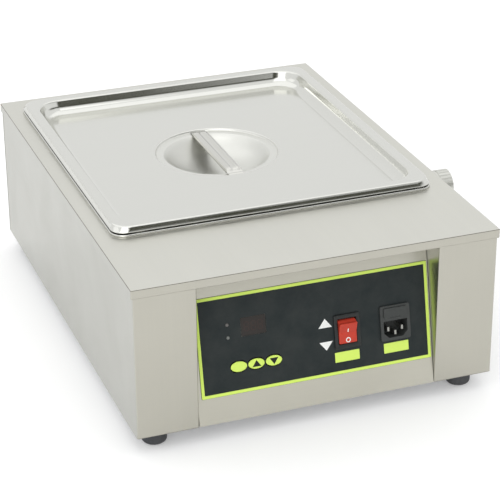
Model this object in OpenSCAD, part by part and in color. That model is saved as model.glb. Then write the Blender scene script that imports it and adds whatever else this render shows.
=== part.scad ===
// Countertop chocolate melting pot: a stainless box with a water bath, a gastronorm pan and lid,
// a tilted control panel between two front posts, and an overflow outlet on the right wall.
// X runs to the right, Y to the back, Z up. The origin is the middle of the feet's resting plane.

/* [Body] */
// Width of the deck from flange to flange
body_w = 358; // [350:1:400]
// Depth of the deck from flange to flange
body_d = 485; // [480:1:540]
// Height of the box, from its underside to the top of the deck
body_h = 151; // [146:1:190]
// Thickness of the stainless sheet
sheet_t = 1.0; // [0.8:0.1:1.2]
// Height of the deck's turned-down flange
flange_h = 8.5; // [6:0.5:14]
// Distance of the walls' outer faces in from the flange's outer face
wall_inset = 1.5; // [1.3:0.1:3]
// Width of each front post
post_w = 59.5; // [50:0.5:64]
// Depth of the posts' inner returns
post_return = 62; // [30:1:74]
// Width of the inner flanges that the screws go into
inner_flange = 13; // [11:1:18]

/* [Pan] */
// Deck at each side of the pan's flange
pan_side = 16.5; // [14:0.5:20]
// Deck behind the pan's flange
pan_rear = 24; // [22:1:30]
// Depth of the pan below its flange
pan_depth = 100; // [65:5:105]
// Deck in front of the pan
pan_front = 107; // [104:1:112]
// Width of the pan's flange
pan_flange = 12.5; // [11.5:0.5:14]
// Height of the pan's flange over the deck
pan_lip_h = 2.0; // [1.5:0.1:3]
// Thickness of the pan's sheet
pan_t = 0.9; // [0.6:0.1:1.0]
// How much narrower the pan's floor is than its mouth, on each side
pan_draft = 8; // [4:1:12]
// Radius of the pan's upright corners
pan_corner = 30; // [28:1:36]
// Radius of the flange's corners
pan_flange_r = 14; // [10:1:18]

/* [Lid] */
// Gap between the lid's edge and the edge of the pan's flange
lid_margin = 0.7; // [0.3:0.1:2]
// Height of the lid's rim over the deck
lid_rim_h = 9.0; // [7:0.5:12]
// Thickness of the lid's sheet
lid_t = 0.9; // [0.6:0.1:1.0]
// Width of the rim, from the lid's edge to the start of its inner slope
lid_rim_w = 12; // [9:0.5:14]
// Width of the inner slope
lid_slope_w = 12; // [9:0.5:14]
// Drop from the rim to the middle panel
lid_drop = 14; // [10:0.5:16]
// Radius over the rim's outer edge
lid_edge_r = 2.6; // [2:0.2:3.4]
// Corner radius at the foot of the slope
lid_pocket_r = 17; // [14:1:22]
// Diameter of the round finger dish
dish_d = 127; // [120:1:136]
// Width of the dish's shallow ledge
ledge_w = 9.5; // [8:0.5:11]
// Drop of the ledge under the middle panel
ledge_drop = 2.4; // [2:0.2:3.5]
// Depth of the dish under the middle panel
dish_depth = 20; // [18:1:24]
// Width of the strap handle
strap_w = 16; // [14:1:20]
// Thickness of the strap's sheet
strap_t = 1.2; // [1:0.1:1.5]
// Depth of the strap's side flanges
strap_side = 4.5; // [3:0.5:5]
// Height of the strap's top over the middle panel
strap_proud = 1.6; // [1:0.2:3]
// Length of the tabs at the strap's ends
strap_tab = 7; // [6:0.5:8]

/* [Water bath] */
// Gap between the pan's walls and the water tank's walls
tank_gap = 2.5; // [2:0.5:3.5]
// Depth of water under the pan
tank_sump = 21; // [20:1:30]
// Width of the tank's flange under the deck
tank_flange = 8; // [6:1:10]
// Thickness of the mineral wool round the tank
wool_t = 9; // [6:1:9]
// Diameter of the tubular heater
heater_d = 8; // [6.5:0.5:9]
// Distance between the heater's two legs
heater_span = 170; // [130:5:200]
// Bend radius of the heater
heater_bend = 26; // [20:1:34]
// Height of the heater's axis over the tank's floor
heater_z = 9; // [8:0.5:11]
// Diameter of the temperature probe
probe_d = 6; // [4:0.5:7]
// Length of the probe inside the tank
probe_len = 64; // [40:1:90]

/* [Overflow outlet] */
// Outside diameter of the outlet's pipe
outlet_d = 28; // [24:1:30]
// Bore of the outlet
outlet_bore = 18; // [14:1:20]
// Height of the outlet's axis over the body's underside
outlet_z = 117; // [112:1:120]
// Distance of the outlet's axis from the front of the deck
outlet_y = 183; // [178:1:260]
// How far the closed outlet stands out from the deck's flange
outlet_reach = 35; // [30:1:40]
// Length of the screw cap
cap_len = 20; // [16:1:22]
// Outside diameter of the screw cap
cap_d = 31.5; // [31.5:0.1:34]
// Number of grip flutes round the cap
cap_flutes = 24; // [16:2:28]

/* [Feet] */
// Diameter of a foot
foot_d = 24; // [22:1:28]
// Height of a foot
foot_h = 18; // [16:1:24]
// Distance of a foot's axis from the deck's edges
foot_inset = 24.5; // [22:0.5:28]

/* [Control panel] */
// Angle that the panel leans back by
panel_tilt = 12; // [9:0.5:13]
// Bare panel at each side of the overlay, before it is set off its middle
overlay_side = 2.6; // [2.2:0.1:4]
// Height of the printed overlay
overlay_h = 95; // [92:1:100]
// Thickness of the overlay
overlay_t = 0.5; // [0.4:0.1:0.8]
// Lower edge of the overlay, up the slope from the panel's foot
overlay_v = 25.5; // [24:0.5:29]
// Sideways offset of the overlay from the panel's middle
overlay_u = 1.5; // [0:0.5:2]
// Width of the coloured border
border_w = 3.6; // [3:0.2:4.4]

/* [Display and keys] */
// Middle of the display and the keys, as a share of the panel's width from its middle
display_share = -0.249; // [-0.255:0.001:-0.245]
// Middle of the display, up the slope
display_v = 87.5; // [86:0.5:90]
// Width of the display window
window_w = 24; // [22:0.5:28]
// Height of the display window
window_h = 17.5; // [16:0.5:19]
// Middle of the two indicator lamps, as a share of the panel's width from its middle
lamp_share = -0.356; // [-0.362:0.001:-0.35]
// Height of the lower lamp, up the slope
lamp_v = 79.8; // [78:0.1:82]
// Distance between the two lamps
lamp_pitch = 12.2; // [10:0.2:14]
// Diameter of a lamp
lamp_d = 3; // [2.5:0.5:3]
// Middle of the keys, up the slope
key_v = 51; // [50:0.5:53]
// Distance between the keys
key_pitch = 17.1; // [17:0.1:19]
// Width of a key
key_w = 15.8; // [14:0.2:16]
// Height of a key
key_h = 10.8; // [9:0.2:11]
// How far a key stands out of the overlay
key_proud = 1.1; // [0.9:0.1:1.5]
// Travel of a key
key_travel = 0.8; // [0.5:0.1:0.8]

/* [Switch and inlet] */
// Middle of the rocker switch, as a share of the panel's width from its middle
rocker_share = 0.138; // [0.13:0.001:0.145]
// Middle of the rocker switch, up the slope
rocker_v = 66.5; // [65:0.5:68]
// Width of the switch's bezel
bezel_w = 26; // [25:0.5:27]
// Height of the switch's bezel
bezel_h = 33; // [32:0.5:34]
// Width of the rocker
rocker_w = 20; // [19:0.5:20.5]
// Length of the rocker
rocker_l = 26; // [25:0.5:26.5]
// Full swing of the rocker between off and on
rocker_throw = 22; // [18:1:24]
// Middle of the mains inlet, as a share of the panel's width from its middle
inlet_share = 0.344; // [0.335:0.001:0.352]
// Middle of the mains inlet, up the slope
inlet_v = 66.6; // [65:0.5:68]
// Width of the inlet's bezel
inlet_w = 30; // [29:0.5:32]
// Height of the inlet's bezel
inlet_h = 34; // [33:0.5:36]
// Travel of the fuse drawer
drawer_travel = 16; // [10:1:18]

/* [Control board] */
// Width of the circuit board
board_w = 92; // [90:1:96]
// Height of the circuit board
board_h = 76; // [74:1:80]
// Distance of the circuit board behind the panel
board_gap = 11; // [10:0.5:12]

/* [Hidden] */

// Smoothness of round shapes
$fn = 48;
// Smoothness of the shapes under a hull
hull_fn = 32;

// Overrun of every cut past the face that it leaves
over = 2;
// Thinnest slice of a hull
slice = 0.02;
// Gap between sheets that lie beside each other
sheet_gap = 0.4;
// Clearance round a round piece in its hole
hole_gap = 0.2;
// Running clearance of a pin in its bearing
pin_gap = 0.06;
// Clearance of a moving piece in its slot
slot_gap = 0.35;
// Seat of the lid over the pan's flange
lid_seat = 0.4;

// Half sizes and main levels
half_w = body_w / 2;
half_d = body_d / 2;
z_base = foot_h;
z_deck = foot_h + body_h;
x_wall = half_w - wall_inset;
y_front = -half_d + wall_inset;
y_back = half_d - wall_inset;
z_wall_top = z_deck - sheet_t;

// The pan's flange, a gastronorm 2/3, its place and mouth, and the tank
pan_w = body_w - 2 * pan_side;
pan_d = body_d - pan_front - pan_rear;
pan_y = -half_d + pan_front + pan_d / 2;
mouth_w = pan_w - 2 * pan_flange;
mouth_d = pan_d - 2 * pan_flange;
tank_w = mouth_w + 2 * (pan_t + tank_gap);
tank_d = mouth_d + 2 * (pan_t + tank_gap);
tank_r = pan_corner + pan_t + tank_gap;
z_pan_top = z_deck + pan_lip_h;
z_pan_floor = z_pan_top - pan_depth;
z_tank_floor = z_pan_floor - pan_t - tank_sump;
y_tank_front = pan_y - tank_d / 2 - sheet_t;
pan_foot_r = 14;

// Lid levels and the dish
lid_w = pan_w - 2 * lid_margin;
lid_d = pan_d - 2 * lid_margin;
lid_r = pan_flange_r - lid_margin;
z_rim = z_deck + lid_rim_h;
z_lid_hem = z_pan_top + lid_seat;
z_lid = z_rim - lid_drop;
dish_r = dish_d / 2;
bowl_r = dish_r - ledge_w;
bowl_floor_share = 0.55;
bead_d = 2.2;
dish_edge_r = 1.5;

// Base plate and screws
vent_slot_w = 3.2;
vent_slot_l = 34;
vent_pitch = 9;
vent_count = 9;
screw_d = 4;
screw_head_d = 7.6;
screw_head_h = 2.4;
screw_len = 7;
screw_slot_w = 1.1;
foot_screw_d = 5;
foot_screw_head_d = 9;
foot_screw_head_h = 3.2;
foot_bore_depth = 9;
foot_round = 4;
nut_w = 8;
nut_h = 4;
foot_nut_w = 9;
screw_tip = 1.5;

// Places across the panel
panel_w = 2 * (x_wall - post_w - sheet_gap);
overlay_w = panel_w - 2 * overlay_side;
display_u = display_share * panel_w;
lamp_u = lamp_share * panel_w;
rocker_u = rocker_share * panel_w;
inlet_u = inlet_share * panel_w;

// Fittings on the panel
bezel_t = 2;
bezel_r = 2;
switch_body_w = 23.6;
switch_body_l = 29;
switch_depth = 22;
rocker_pivot = 4;
rocker_pin_d = 2.6;
rocker_pin_len = 0.8;
rocker_face = 0.3;
rocker_core = 9;
rocker_nose_a = 12;
tab_t = 0.8;
tab_w = 6.3;
tab_len = 9;
tab_spread_share = 0.27;
inlet_body_w = 27;
inlet_body_h = 31;
inlet_depth = 23;
socket_w = 24;
socket_h = 16.4;
socket_depth = 16;
socket_cut = 5;
socket_v = -6;
blade_t = 2;
blade_w = 4;
blade_len = 14.5;
blade_gap = 14;
blade_drop = 4;
drawer_v = 10;
drawer_w = 22;
drawer_h = 8.6;
drawer_hold = 4;
drawer_depth = drawer_travel + drawer_hold;
drawer_wall = 1.2;
drawer_lip_t = 1.2;
drawer_lip = 1;
drawer_grip = 2.4;
fuse_d = 5;
fuse_len = 18;
fuse_cap_len = 4.5;

// Board and what it carries
board_t = 1.6;
post_d = 6;
post_edge = 5;
board_side = 7;
board_u = -panel_w / 2 + board_side + board_w / 2;
board_v = 66;
module_w = 26;
module_h = 16;
digit_w = 5.5;
digit_h = 10;
digit_t = 0.6;
key_flange = 1;
key_flange_t = 0.9;
key_play = 0.3;
tact_w = 6;
tact_d = 3.4;
tact_body = 4;
tact_play = 0.1;
relay_size = [19, 17, 15.5];
transformer_size = [33, 27, 28];
core_lip = 3;
terminal_size = [40, 9, 11];
terminal_count = 6;
relay_shares = [-0.283, 0.184];
transformer_shares = [0.196, 0.105];
terminal_shares = [0, -0.382];
relay_place = [relay_shares[0] * board_w, relay_shares[1] * board_h];
transformer_place = [transformer_shares[0] * board_w, transformer_shares[1] * board_h];
terminal_place = [terminal_shares[0] * board_w, terminal_shares[1] * board_h];
lamp_lead = 0.6;
lamp_proud = 0.4;

// Heater and probe
gland_w = 18;
gland_h = 5;
heater_tail = 24;
heater_pin_d = 3.5;
heater_pin_len = 9;
heater_margin = 55;
clip_w = 12;
clip_t = 6;
clip_wall = 2.2;
probe_tail = 14;
cutout_d = 16;
cutout_h = 7.2;
cutout_x = 54;
cutout_z = 96;
cutout_ear = 30;
cutout_ear_h = 7;
cutout_ear_t = 1;

// Overflow outlet
outlet_collar_d = 36;
outlet_collar_t = 2;
cap_end_t = 3;
gasket_t = 1.5;
flute_d = 1.6;
groove_w = 1.2;
groove_depth = 0.5;
cap_groove_share = 0.3;

// Wires
wire_d = 2.4;
wire_rings = 14;
wire_sides = 8;
wire_reach = 24;
wire_tip = 0.5;
stud_d = 5;
stud_h = 14;
stud_x = -30;
stud_inset = 86;
stud_y = -half_d + stud_inset;
lug_d = 10;
lug_t = 1;

// A rectangle with true round corners, centred
module rounded(w, d, r) {
    square([w - 2 * r, d], center = true);
    square([w, d - 2 * r], center = true);
    for (sx = [-1, 1], sy = [-1, 1])
        translate([sx * (w / 2 - r), sy * (d / 2 - r)]) circle(r = r);
}

// A convex tub from a list of rings: each ring is [height, how far it is drawn in, corner radius]
module tub(w, d, rings) {
    hull()
        for (ring = rings)
            translate([0, 0, ring[0]])
                linear_extrude(slice)
                    rounded(w - 2 * ring[1], d - 2 * ring[1], ring[2], $fn = hull_fn);
}

// A place on the control panel: sideways, up the slope, and behind the face
module on_panel(u = 0, v = 0, back = 0) {
    translate([0, y_front, z_base])
        rotate([-panel_tilt, 0, 0])
            translate([u, back, v]) children();
}

// A plate on the panel that runs backwards from its front face
module panel_plate(w, h, t, r) {
    rotate([-90, 0, 0]) linear_extrude(t) rounded(w, h, r);
}

// A round bar on the panel that runs backwards
module panel_bar(d, t) {
    rotate([-90, 0, 0]) cylinder(d = d, h = t);
}

// A point on the panel in the object's frame
function panel_point(u, v, back) =
    [u, y_front + back * cos(panel_tilt) + v * sin(panel_tilt),
     z_base + v * cos(panel_tilt) - back * sin(panel_tilt)];

// Direction that points straight back from the panel
panel_back = [0, cos(panel_tilt), -sin(panel_tilt)];

// A tube of a given radius swept along a cubic curve between two points
function curve(a, b, c, d, t) =
    pow(1 - t, 3) * a + 3 * pow(1 - t, 2) * t * b + 3 * (1 - t) * t * t * c + pow(t, 3) * d;
function slope(a, b, c, d, t) =
    3 * pow(1 - t, 2) * (b - a) + 6 * (1 - t) * t * (c - b) + 3 * t * t * (d - c);
function unit(v) = v / norm(v);
function ring_points(c, t, r) =
    let (side = unit(cross(t, [0.31, 0.17, 0.94])), up = cross(t, side))
    [for (i = [0 : wire_sides - 1])
        c + r * (cos(i * 360 / wire_sides) * side + sin(i * 360 / wire_sides) * up)];
module wire(a, dir_a, b, dir_b, reach = wire_reach, d = wire_d) {
    far_a = a + reach * dir_a;
    far_b = b + reach * dir_b;
    points = [for (i = [0 : wire_rings])
        each ring_points(curve(a, far_a, far_b, b, i / wire_rings),
            unit(slope(a, far_a, far_b, b, i / wire_rings)), d / 2)];
    last = wire_rings * wire_sides;
    sides = [for (i = [0 : wire_rings - 1], j = [0 : wire_sides - 1])
        let (k = (j + 1) % wire_sides, p = i * wire_sides, q = p + wire_sides)
        each [[p + j, p + k, q + k], [p + j, q + k, q + j]]];
    polyhedron(points = points, faces = concat(sides,
        [[for (j = [wire_sides - 1 : -1 : 0]) j]],
        [[for (j = [0 : wire_sides - 1]) last + j]]), convexity = 4);
}

// A pan-head screw that points along +Z, its head's seat at the origin
module screw(d = screw_d, head_d = screw_head_d, head_h = screw_head_h, len = screw_len) {
    difference() {
        union() {
            translate([0, 0, -head_h]) cylinder(d = head_d, h = head_h);
            cylinder(d = d, h = len);
        }
        for (turn = [0, 90])
            rotate(turn) translate([-head_d / 4, -screw_slot_w / 2, -head_h - over])
                cube([head_d / 2, screw_slot_w, over + head_h / 2]);
    }
}

// A hex nut with its bore, standing on the origin
module nut(across, h, bore) {
    difference() {
        cylinder(d = across / cos(30), h = h, $fn = 6);
        translate([0, 0, -over]) cylinder(d = bore, h = h + 2 * over);
    }
}

// Places of the feet, the screws and the vents
foot_places = [for (sx = [-1, 1], sy = [-1, 1]) [sx * (half_w - foot_inset), sy * (half_d - foot_inset)]];
flange_mid = inner_flange / 2 + sheet_t;
side_screw_share = [-0.62, 0, 0.62];
back_screw_share = [0.2, 0.5, 0.8];
front_screw_share = [-0.3, 0.3];
base_screw_places = concat(
    [for (sx = [-1, 1], s = side_screw_share) [sx * (x_wall - flange_mid), s * y_back]],
    [for (s = front_screw_share) [s * body_w, y_front + flange_mid + sheet_t]],
    [for (s = front_screw_share) [s * body_w, y_back - flange_mid]]);
z_flange = z_base + sheet_t;
base_front = y_front + sheet_t / cos(panel_tilt) + sheet_gap;

module deck_cover() {
    color("gainsboro") {
        translate([0, 0, z_deck - sheet_t])
            linear_extrude(sheet_t) difference() {
                square([body_w, body_d], center = true);
                translate([0, pan_y]) rounded(tank_w, tank_d, tank_r);
            }
        translate([0, 0, z_deck - flange_h])
            linear_extrude(flange_h - sheet_t / 2) difference() {
                square([body_w, body_d], center = true);
                square([body_w - 2 * sheet_t, body_d - 2 * sheet_t], center = true);
            }
    }
}

// One side wall with its bottom and rear flanges, drawn for the right side
module side_sheet() {
    translate([x_wall - sheet_t, y_front, z_base])
        cube([sheet_t, y_back - y_front - sheet_t - sheet_gap, z_wall_top - z_base]);
    translate([x_wall - inner_flange, y_front + post_return + sheet_gap, z_flange])
        cube([inner_flange, y_back - sheet_t - sheet_gap - (y_front + post_return + sheet_gap), sheet_t]);
    translate([x_wall - inner_flange, y_back - 2 * sheet_t - sheet_gap, z_flange])
        difference() {
            cube([inner_flange, sheet_t, z_wall_top - z_flange]);
            for (s = back_screw_share)
                translate([inner_flange / 2, 0, s * (z_wall_top - z_flange)])
                    rotate([90, 0, 0]) cylinder(d = screw_d + hole_gap, h = 2 * (over + sheet_t), center = true);
        }
}

// Holes for the base screws
module base_screw_holes() {
    for (p = base_screw_places)
        translate([p[0], p[1], z_base - over])
            cylinder(d = screw_d + hole_gap, h = 2 * over + 2 * sheet_t);
}

module outlet_hole(extra) {
    translate([0, -half_d + outlet_y, z_base + outlet_z])
        rotate([0, 90, 0]) cylinder(d = outlet_d + extra, h = body_w);
}

module left_wall() {
    color("silver") difference() {
        mirror([1, 0, 0]) side_sheet();
        base_screw_holes();
    }
}

module right_wall() {
    color("silver") difference() {
        side_sheet();
        base_screw_holes();
        outlet_hole(2 * sheet_gap);
    }
}

module vent_row(count, along) {
    for (i = [0 : count - 1])
        translate([(i - (count - 1) / 2) * vent_pitch, 0])
            rounded(vent_slot_w, along, vent_slot_w / 2 - slice);
}

module back_panel() {
    plate_h = z_wall_top - z_base;
    vent_share = 0.25;
    color("silver") difference() {
        union() {
            translate([-x_wall, y_back - sheet_t, z_base]) cube([2 * x_wall, sheet_t, plate_h]);
            translate([-x_wall + inner_flange + sheet_gap, y_back - inner_flange, z_flange])
                cube([2 * (x_wall - inner_flange - sheet_gap), inner_flange - sheet_t / 2, sheet_t]);
        }
        for (sx = [-1, 1])
            translate([sx * vent_share * body_w, y_back + over, z_base + plate_h / 2])
                rotate([90, 0, 0]) linear_extrude(2 * over + sheet_t) vent_row(vent_count, vent_slot_l);
        for (sx = [-1, 1], s = back_screw_share)
            translate([sx * (x_wall - inner_flange / 2), y_back, z_flange + s * (z_wall_top - z_flange)])
                rotate([90, 0, 0]) cylinder(d = screw_d + hole_gap, h = 2 * (over + sheet_t), center = true);
        base_screw_holes();
    }
}

module base_plate() {
    vent_rows = 3;
    vent_y = y_front + post_return / 2;
    color("darkgray") difference() {
        translate([-x_wall + sheet_t + sheet_gap, base_front, z_base])
            cube([2 * (x_wall - sheet_t - sheet_gap), y_back - sheet_t - sheet_gap - base_front, sheet_t]);
        for (sx = [-1, 0, 1])
            translate([sx * vent_rows * vent_slot_l / 2 * 1.5, vent_y, z_base - over])
                linear_extrude(2 * over + sheet_t) vent_row(vent_count, vent_slot_l);
        for (p = foot_places)
            translate([p[0], p[1], z_base - over])
                cylinder(d = foot_screw_d + hole_gap, h = 2 * over + sheet_t);
        base_screw_holes();
        translate([stud_x, stud_y, z_base - over])
            cylinder(d = stud_d + hole_gap, h = 2 * over + sheet_t);
    }
}

// One front post: its face and the return that runs back beside the panel, drawn for the right side
module post_sheet() {
    bottom = z_base + sheet_t + sheet_gap;
    translate([x_wall - post_w, y_front, z_base])
        cube([post_w - sheet_t, sheet_t, z_wall_top - z_base]);
    translate([x_wall - post_w, y_front, bottom])
        cube([sheet_t, post_return, z_wall_top - bottom]);
}

module left_post() {
    color("silver") mirror([1, 0, 0]) post_sheet();
}

module right_post() {
    color("silver") post_sheet();
}

// The panel fills the clear width between the posts
panel_foot = sheet_t * tan(panel_tilt);
panel_top = (body_h - sheet_t - sheet_gap) / cos(panel_tilt);
key_places = [for (i = [-1, 0, 1]) display_u + i * key_pitch];

// Everything that is cut through the panel and its overlay
module panel_cuts(front, depth) {
    on_panel(rocker_u, rocker_v, front)
        panel_plate(switch_body_w + hole_gap, switch_body_l + hole_gap, depth, bezel_r / 2);
    on_panel(inlet_u, inlet_v, front)
        panel_plate(inlet_body_w + hole_gap, inlet_body_h + hole_gap, depth, bezel_r / 2);
    for (v = [lamp_v, lamp_v + lamp_pitch])
        on_panel(lamp_u, v, front) panel_bar(lamp_d + 2 * hole_gap, depth);
    for (u = key_places)
        on_panel(u, key_v, front)
            panel_plate(key_w + 2 * key_play, key_h + 2 * key_play, depth, key_h / 2 + key_play - slice);
}

module control_panel() {
    color("silver") difference() {
        union() {
            on_panel(-panel_w / 2, panel_foot) cube([panel_w, sheet_t, panel_top - panel_foot]);
            translate([-panel_w / 2, base_front, z_flange]) cube([panel_w, inner_flange, sheet_t]);
        }
        panel_cuts(-over, sheet_t + 2 * over);
        on_panel(display_u, display_v, -over)
            panel_plate(window_w - 2 * sheet_t, window_h - 2 * sheet_t, sheet_t + 2 * over, sheet_t / 2);
        base_screw_holes();
    }
}

module panel_overlay() {
    color([0.19, 0.22, 0.23]) difference() {
        on_panel(overlay_u, overlay_v + overlay_h / 2, -overlay_t)
            panel_plate(overlay_w, overlay_h, overlay_t, border_w / 4);
        panel_cuts(-overlay_t - over, overlay_t + 2 * over);
        on_panel(display_u, display_v, -overlay_t - over)
            panel_plate(window_w + 2 * hole_gap, window_h + 2 * hole_gap, overlay_t + 2 * over, sheet_t);
    }
}

module display_window() {
    color([0.25, 0.1, 0.1])
        on_panel(display_u, display_v, -overlay_t)
            panel_plate(window_w, window_h, overlay_t, sheet_t - hole_gap);
}

z_board = sheet_t + board_gap;

module display_module() {
    digit_count = 3;
    face = sheet_t + key_play;
    color([0.12, 0.05, 0.05]) {
        on_panel(display_u, display_v, face + digit_t)
            panel_plate(module_w, module_h, z_board - face - digit_t, sheet_t);
        for (i = [-1 : digit_count - 2])
            on_panel(display_u + i * module_w / digit_count, display_v, face)
                panel_plate(digit_w, digit_h, digit_t + slice, digit_t);
    }
}

module lamp(v) {
    on_panel(lamp_u, v, -overlay_t - lamp_proud) panel_bar(lamp_d, overlay_t + lamp_proud + z_board / 2);
    on_panel(lamp_u, v, z_board / 2 - lamp_lead) panel_bar(lamp_d + lamp_lead, lamp_lead);
    for (s = [-1, 1])
        on_panel(lamp_u + s * lamp_d / 4, v, z_board / 2 - lamp_lead)
            panel_bar(lamp_lead, z_board / 2 + lamp_lead);
}

module heat_lamp() {
    color("mistyrose") lamp(lamp_v + lamp_pitch);
}

module alarm_lamp() {
    color("honeydew") lamp(lamp_v);
}

key_back = sheet_t + key_play;

module key_cap(u) {
    color([0.8, 0.9, 0.36]) {
        on_panel(u, key_v, -overlay_t - key_proud)
            panel_plate(key_w, key_h, overlay_t + key_proud + key_back + slice, key_h / 2 - slice);
        on_panel(u, key_v, key_back)
            panel_plate(key_w + key_flange, key_h + key_flange, key_flange_t, key_h / 2);
    }
}

module set_key() {
    key_cap(key_places[0]);
}

module up_key() {
    key_cap(key_places[1]);
}

module down_key() {
    key_cap(key_places[2]);
}

module key_switches() {
    plunger = key_back + key_flange_t + key_travel + tact_play;
    color("dimgray")
        for (u = key_places) {
            on_panel(u, key_v, z_board - tact_body) panel_plate(tact_w, tact_w, tact_body, sheet_t / 2);
            on_panel(u, key_v, plunger) panel_bar(tact_d, z_board - tact_body / 2 - plunger);
        }
}

board_posts_at = [for (su = [-1, 1], sv = [-1, 1])
    [board_u + su * (board_w / 2 - post_edge), board_v + sv * (board_h / 2 - post_edge)]];

module control_board() {
    color([0.1, 0.38, 0.2]) difference() {
        on_panel(board_u, board_v, z_board) panel_plate(board_w, board_h, board_t, board_t);
        for (p = board_posts_at)
            on_panel(p[0], p[1], z_board - over) panel_bar(screw_d + hole_gap, board_t + 2 * over);
    }
}

module board_posts() {
    color("gold") for (p = board_posts_at)
        on_panel(p[0], p[1], sheet_t) panel_bar(post_d, board_gap);
}

module board_screws() {
    color("silver") for (p = board_posts_at)
        on_panel(p[0], p[1], z_board) {
            panel_bar(screw_d, board_t + slice);
            translate([0, board_t, 0]) panel_bar(screw_head_d, screw_head_h);
        }
}

// A box on the back of the board: its place from the board's middle, and its width, height and depth
module on_board(place, size) {
    on_panel(board_u + place[0], board_v + place[1], z_board + board_t)
        panel_plate(size[0], size[1], size[2], board_t / 2);
}

module relay() {
    color("royalblue") on_board(relay_place, relay_size);
}

module transformer() {
    core_share = 0.62;
    size = transformer_size;
    color([0.25, 0.22, 0.2]) {
        on_board(transformer_place, [size[0], size[1] * core_share, size[2]]);
        on_board(transformer_place, [size[0] - 2 * core_lip, size[1], size[2] - core_lip]);
    }
}

module terminal_block() {
    size = terminal_size;
    pole = size[0] / terminal_count;
    hole_share = 0.5;
    color("seagreen") difference() {
        on_board(terminal_place, size);
        for (i = [0 : terminal_count - 1])
            on_panel(board_u + terminal_place[0] + (i - (terminal_count - 1) / 2) * pole,
                    board_v + terminal_place[1], z_board + board_t + size[2] * hole_share)
                panel_bar(pole * hole_share, size[2]);
    }
}

// The switch's pocket is as wide as the rocker and as deep as its swing needs
module switch_housing() {
    front = -overlay_t - bezel_t;
    pocket_w = rocker_w + 2 * slot_gap;
    pocket_l = rocker_l + 2 * slot_gap;
    pocket = rocker_pivot + rocker_core + slot_gap;
    color([0.08, 0.08, 0.08]) difference() {
        union() {
            on_panel(rocker_u, rocker_v, front) panel_plate(bezel_w, bezel_h, bezel_t, bezel_r);
            on_panel(rocker_u, rocker_v, -overlay_t)
                panel_plate(switch_body_w, switch_body_l, switch_depth, bezel_r / 2);
        }
        on_panel(rocker_u, rocker_v, front - over)
            panel_plate(pocket_w, pocket_l, over - front + pocket, bezel_r / 2);
        on_panel(rocker_u, rocker_v, rocker_pivot)
            rotate([0, 90, 0])
                cylinder(d = rocker_pin_d + 2 * pin_gap, h = switch_body_w + over, center = true);
    }
}

// Outline of the rocker about its pivot, at mid swing: depth forwards and place along the slope
half_throw = rocker_throw / 2;
rocker_half = rocker_l / 2;
rocker_front = bezel_t + overlay_t + rocker_pivot + rocker_face;
corner_r = norm([rocker_half - slot_gap / 2, rocker_front]);
corner_a = atan2(rocker_front, rocker_half - slot_gap / 2) + half_throw;
end_a = corner_a - rocker_nose_a;
crease = rocker_front / cos(half_throw);
function polar(r, a) = [r * cos(a), r * sin(a)];
function mirrored(points) = [for (i = [len(points) - 1 : -1 : 0]) [-points[i][0], points[i][1]]];
rocker_arc = [for (a = [end_a : -end_a / 6 : 0]) polar(rocker_half - slot_gap / 2, a)];
rocker_side = concat([[0, crease], polar(corner_r, corner_a)], rocker_arc,
    [polar(rocker_half - slot_gap / 2, -half_throw), [rocker_core, -rocker_core + rocker_core / 3]]);
rocker_outline = concat(rocker_side, mirrored([for (i = [1 : len(rocker_side) - 1]) rocker_side[i]]));

module rocker() {
    color([0.8, 0.16, 0.1])
        on_panel(rocker_u, rocker_v, rocker_pivot)
            rotate([half_throw, 0, 0]) {
                rotate([90, 0, 90]) rotate(90)
                    linear_extrude(rocker_w, center = true) polygon(rocker_outline);
                rotate([0, 90, 0]) cylinder(d = rocker_pin_d, h = rocker_w + 2 * rocker_pin_len, center = true);
            }
}

module switch_tabs() {
    color("burlywood")
        for (su = [-1, 1], sv = [-1, 1])
            on_panel(rocker_u + su * tab_spread_share * switch_body_w - tab_t / 2,
                    rocker_v + sv * tab_spread_share * switch_body_l - tab_w / 2, switch_depth - overlay_t)
                cube([tab_t, tab_len, tab_w]);
}

// The inlet's socket: a rectangle with its two lower corners cut off
module socket_shape() {
    half = socket_w / 2;
    polygon([[-half, socket_h / 2], [half, socket_h / 2], [half, -socket_h / 2 + socket_cut],
        [half - socket_cut, -socket_h / 2], [-half + socket_cut, -socket_h / 2],
        [-half, -socket_h / 2 + socket_cut]]);
}

module inlet_housing() {
    front = -overlay_t - bezel_t;
    color([0.07, 0.07, 0.07]) difference() {
        union() {
            on_panel(inlet_u, inlet_v, front) panel_plate(inlet_w, inlet_h, bezel_t, bezel_r);
            on_panel(inlet_u, inlet_v, -overlay_t)
                panel_plate(inlet_body_w, inlet_body_h, inlet_depth, bezel_r / 2);
        }
        on_panel(inlet_u, inlet_v + socket_v, front + socket_depth)
            rotate([90, 0, 0]) linear_extrude(socket_depth + over) socket_shape();
        on_panel(inlet_u, inlet_v + drawer_v, front - over)
            panel_plate(drawer_w + 2 * slot_gap, drawer_h + 2 * slot_gap,
                over + drawer_depth + slot_gap, slice * 2);
    }
}

// Line, neutral and earth blades, which run through the socket's floor to the tabs behind
blade_places = [[-blade_gap / 2, 0], [blade_gap / 2, 0], [0, -blade_drop]];

module inlet_pins() {
    front = -overlay_t - bezel_t + socket_depth;
    color("silver")
        for (p = blade_places) {
            on_panel(inlet_u + p[0] - blade_t / 2, inlet_v + socket_v + p[1] - blade_w / 2, front - blade_len)
                cube([blade_t, blade_len, blade_w]);
            on_panel(inlet_u + p[0] - tab_t / 2, inlet_v + socket_v + p[1] - tab_w / 2, inlet_depth - overlay_t)
                cube([tab_t, tab_len, tab_w]);
        }
}

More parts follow.
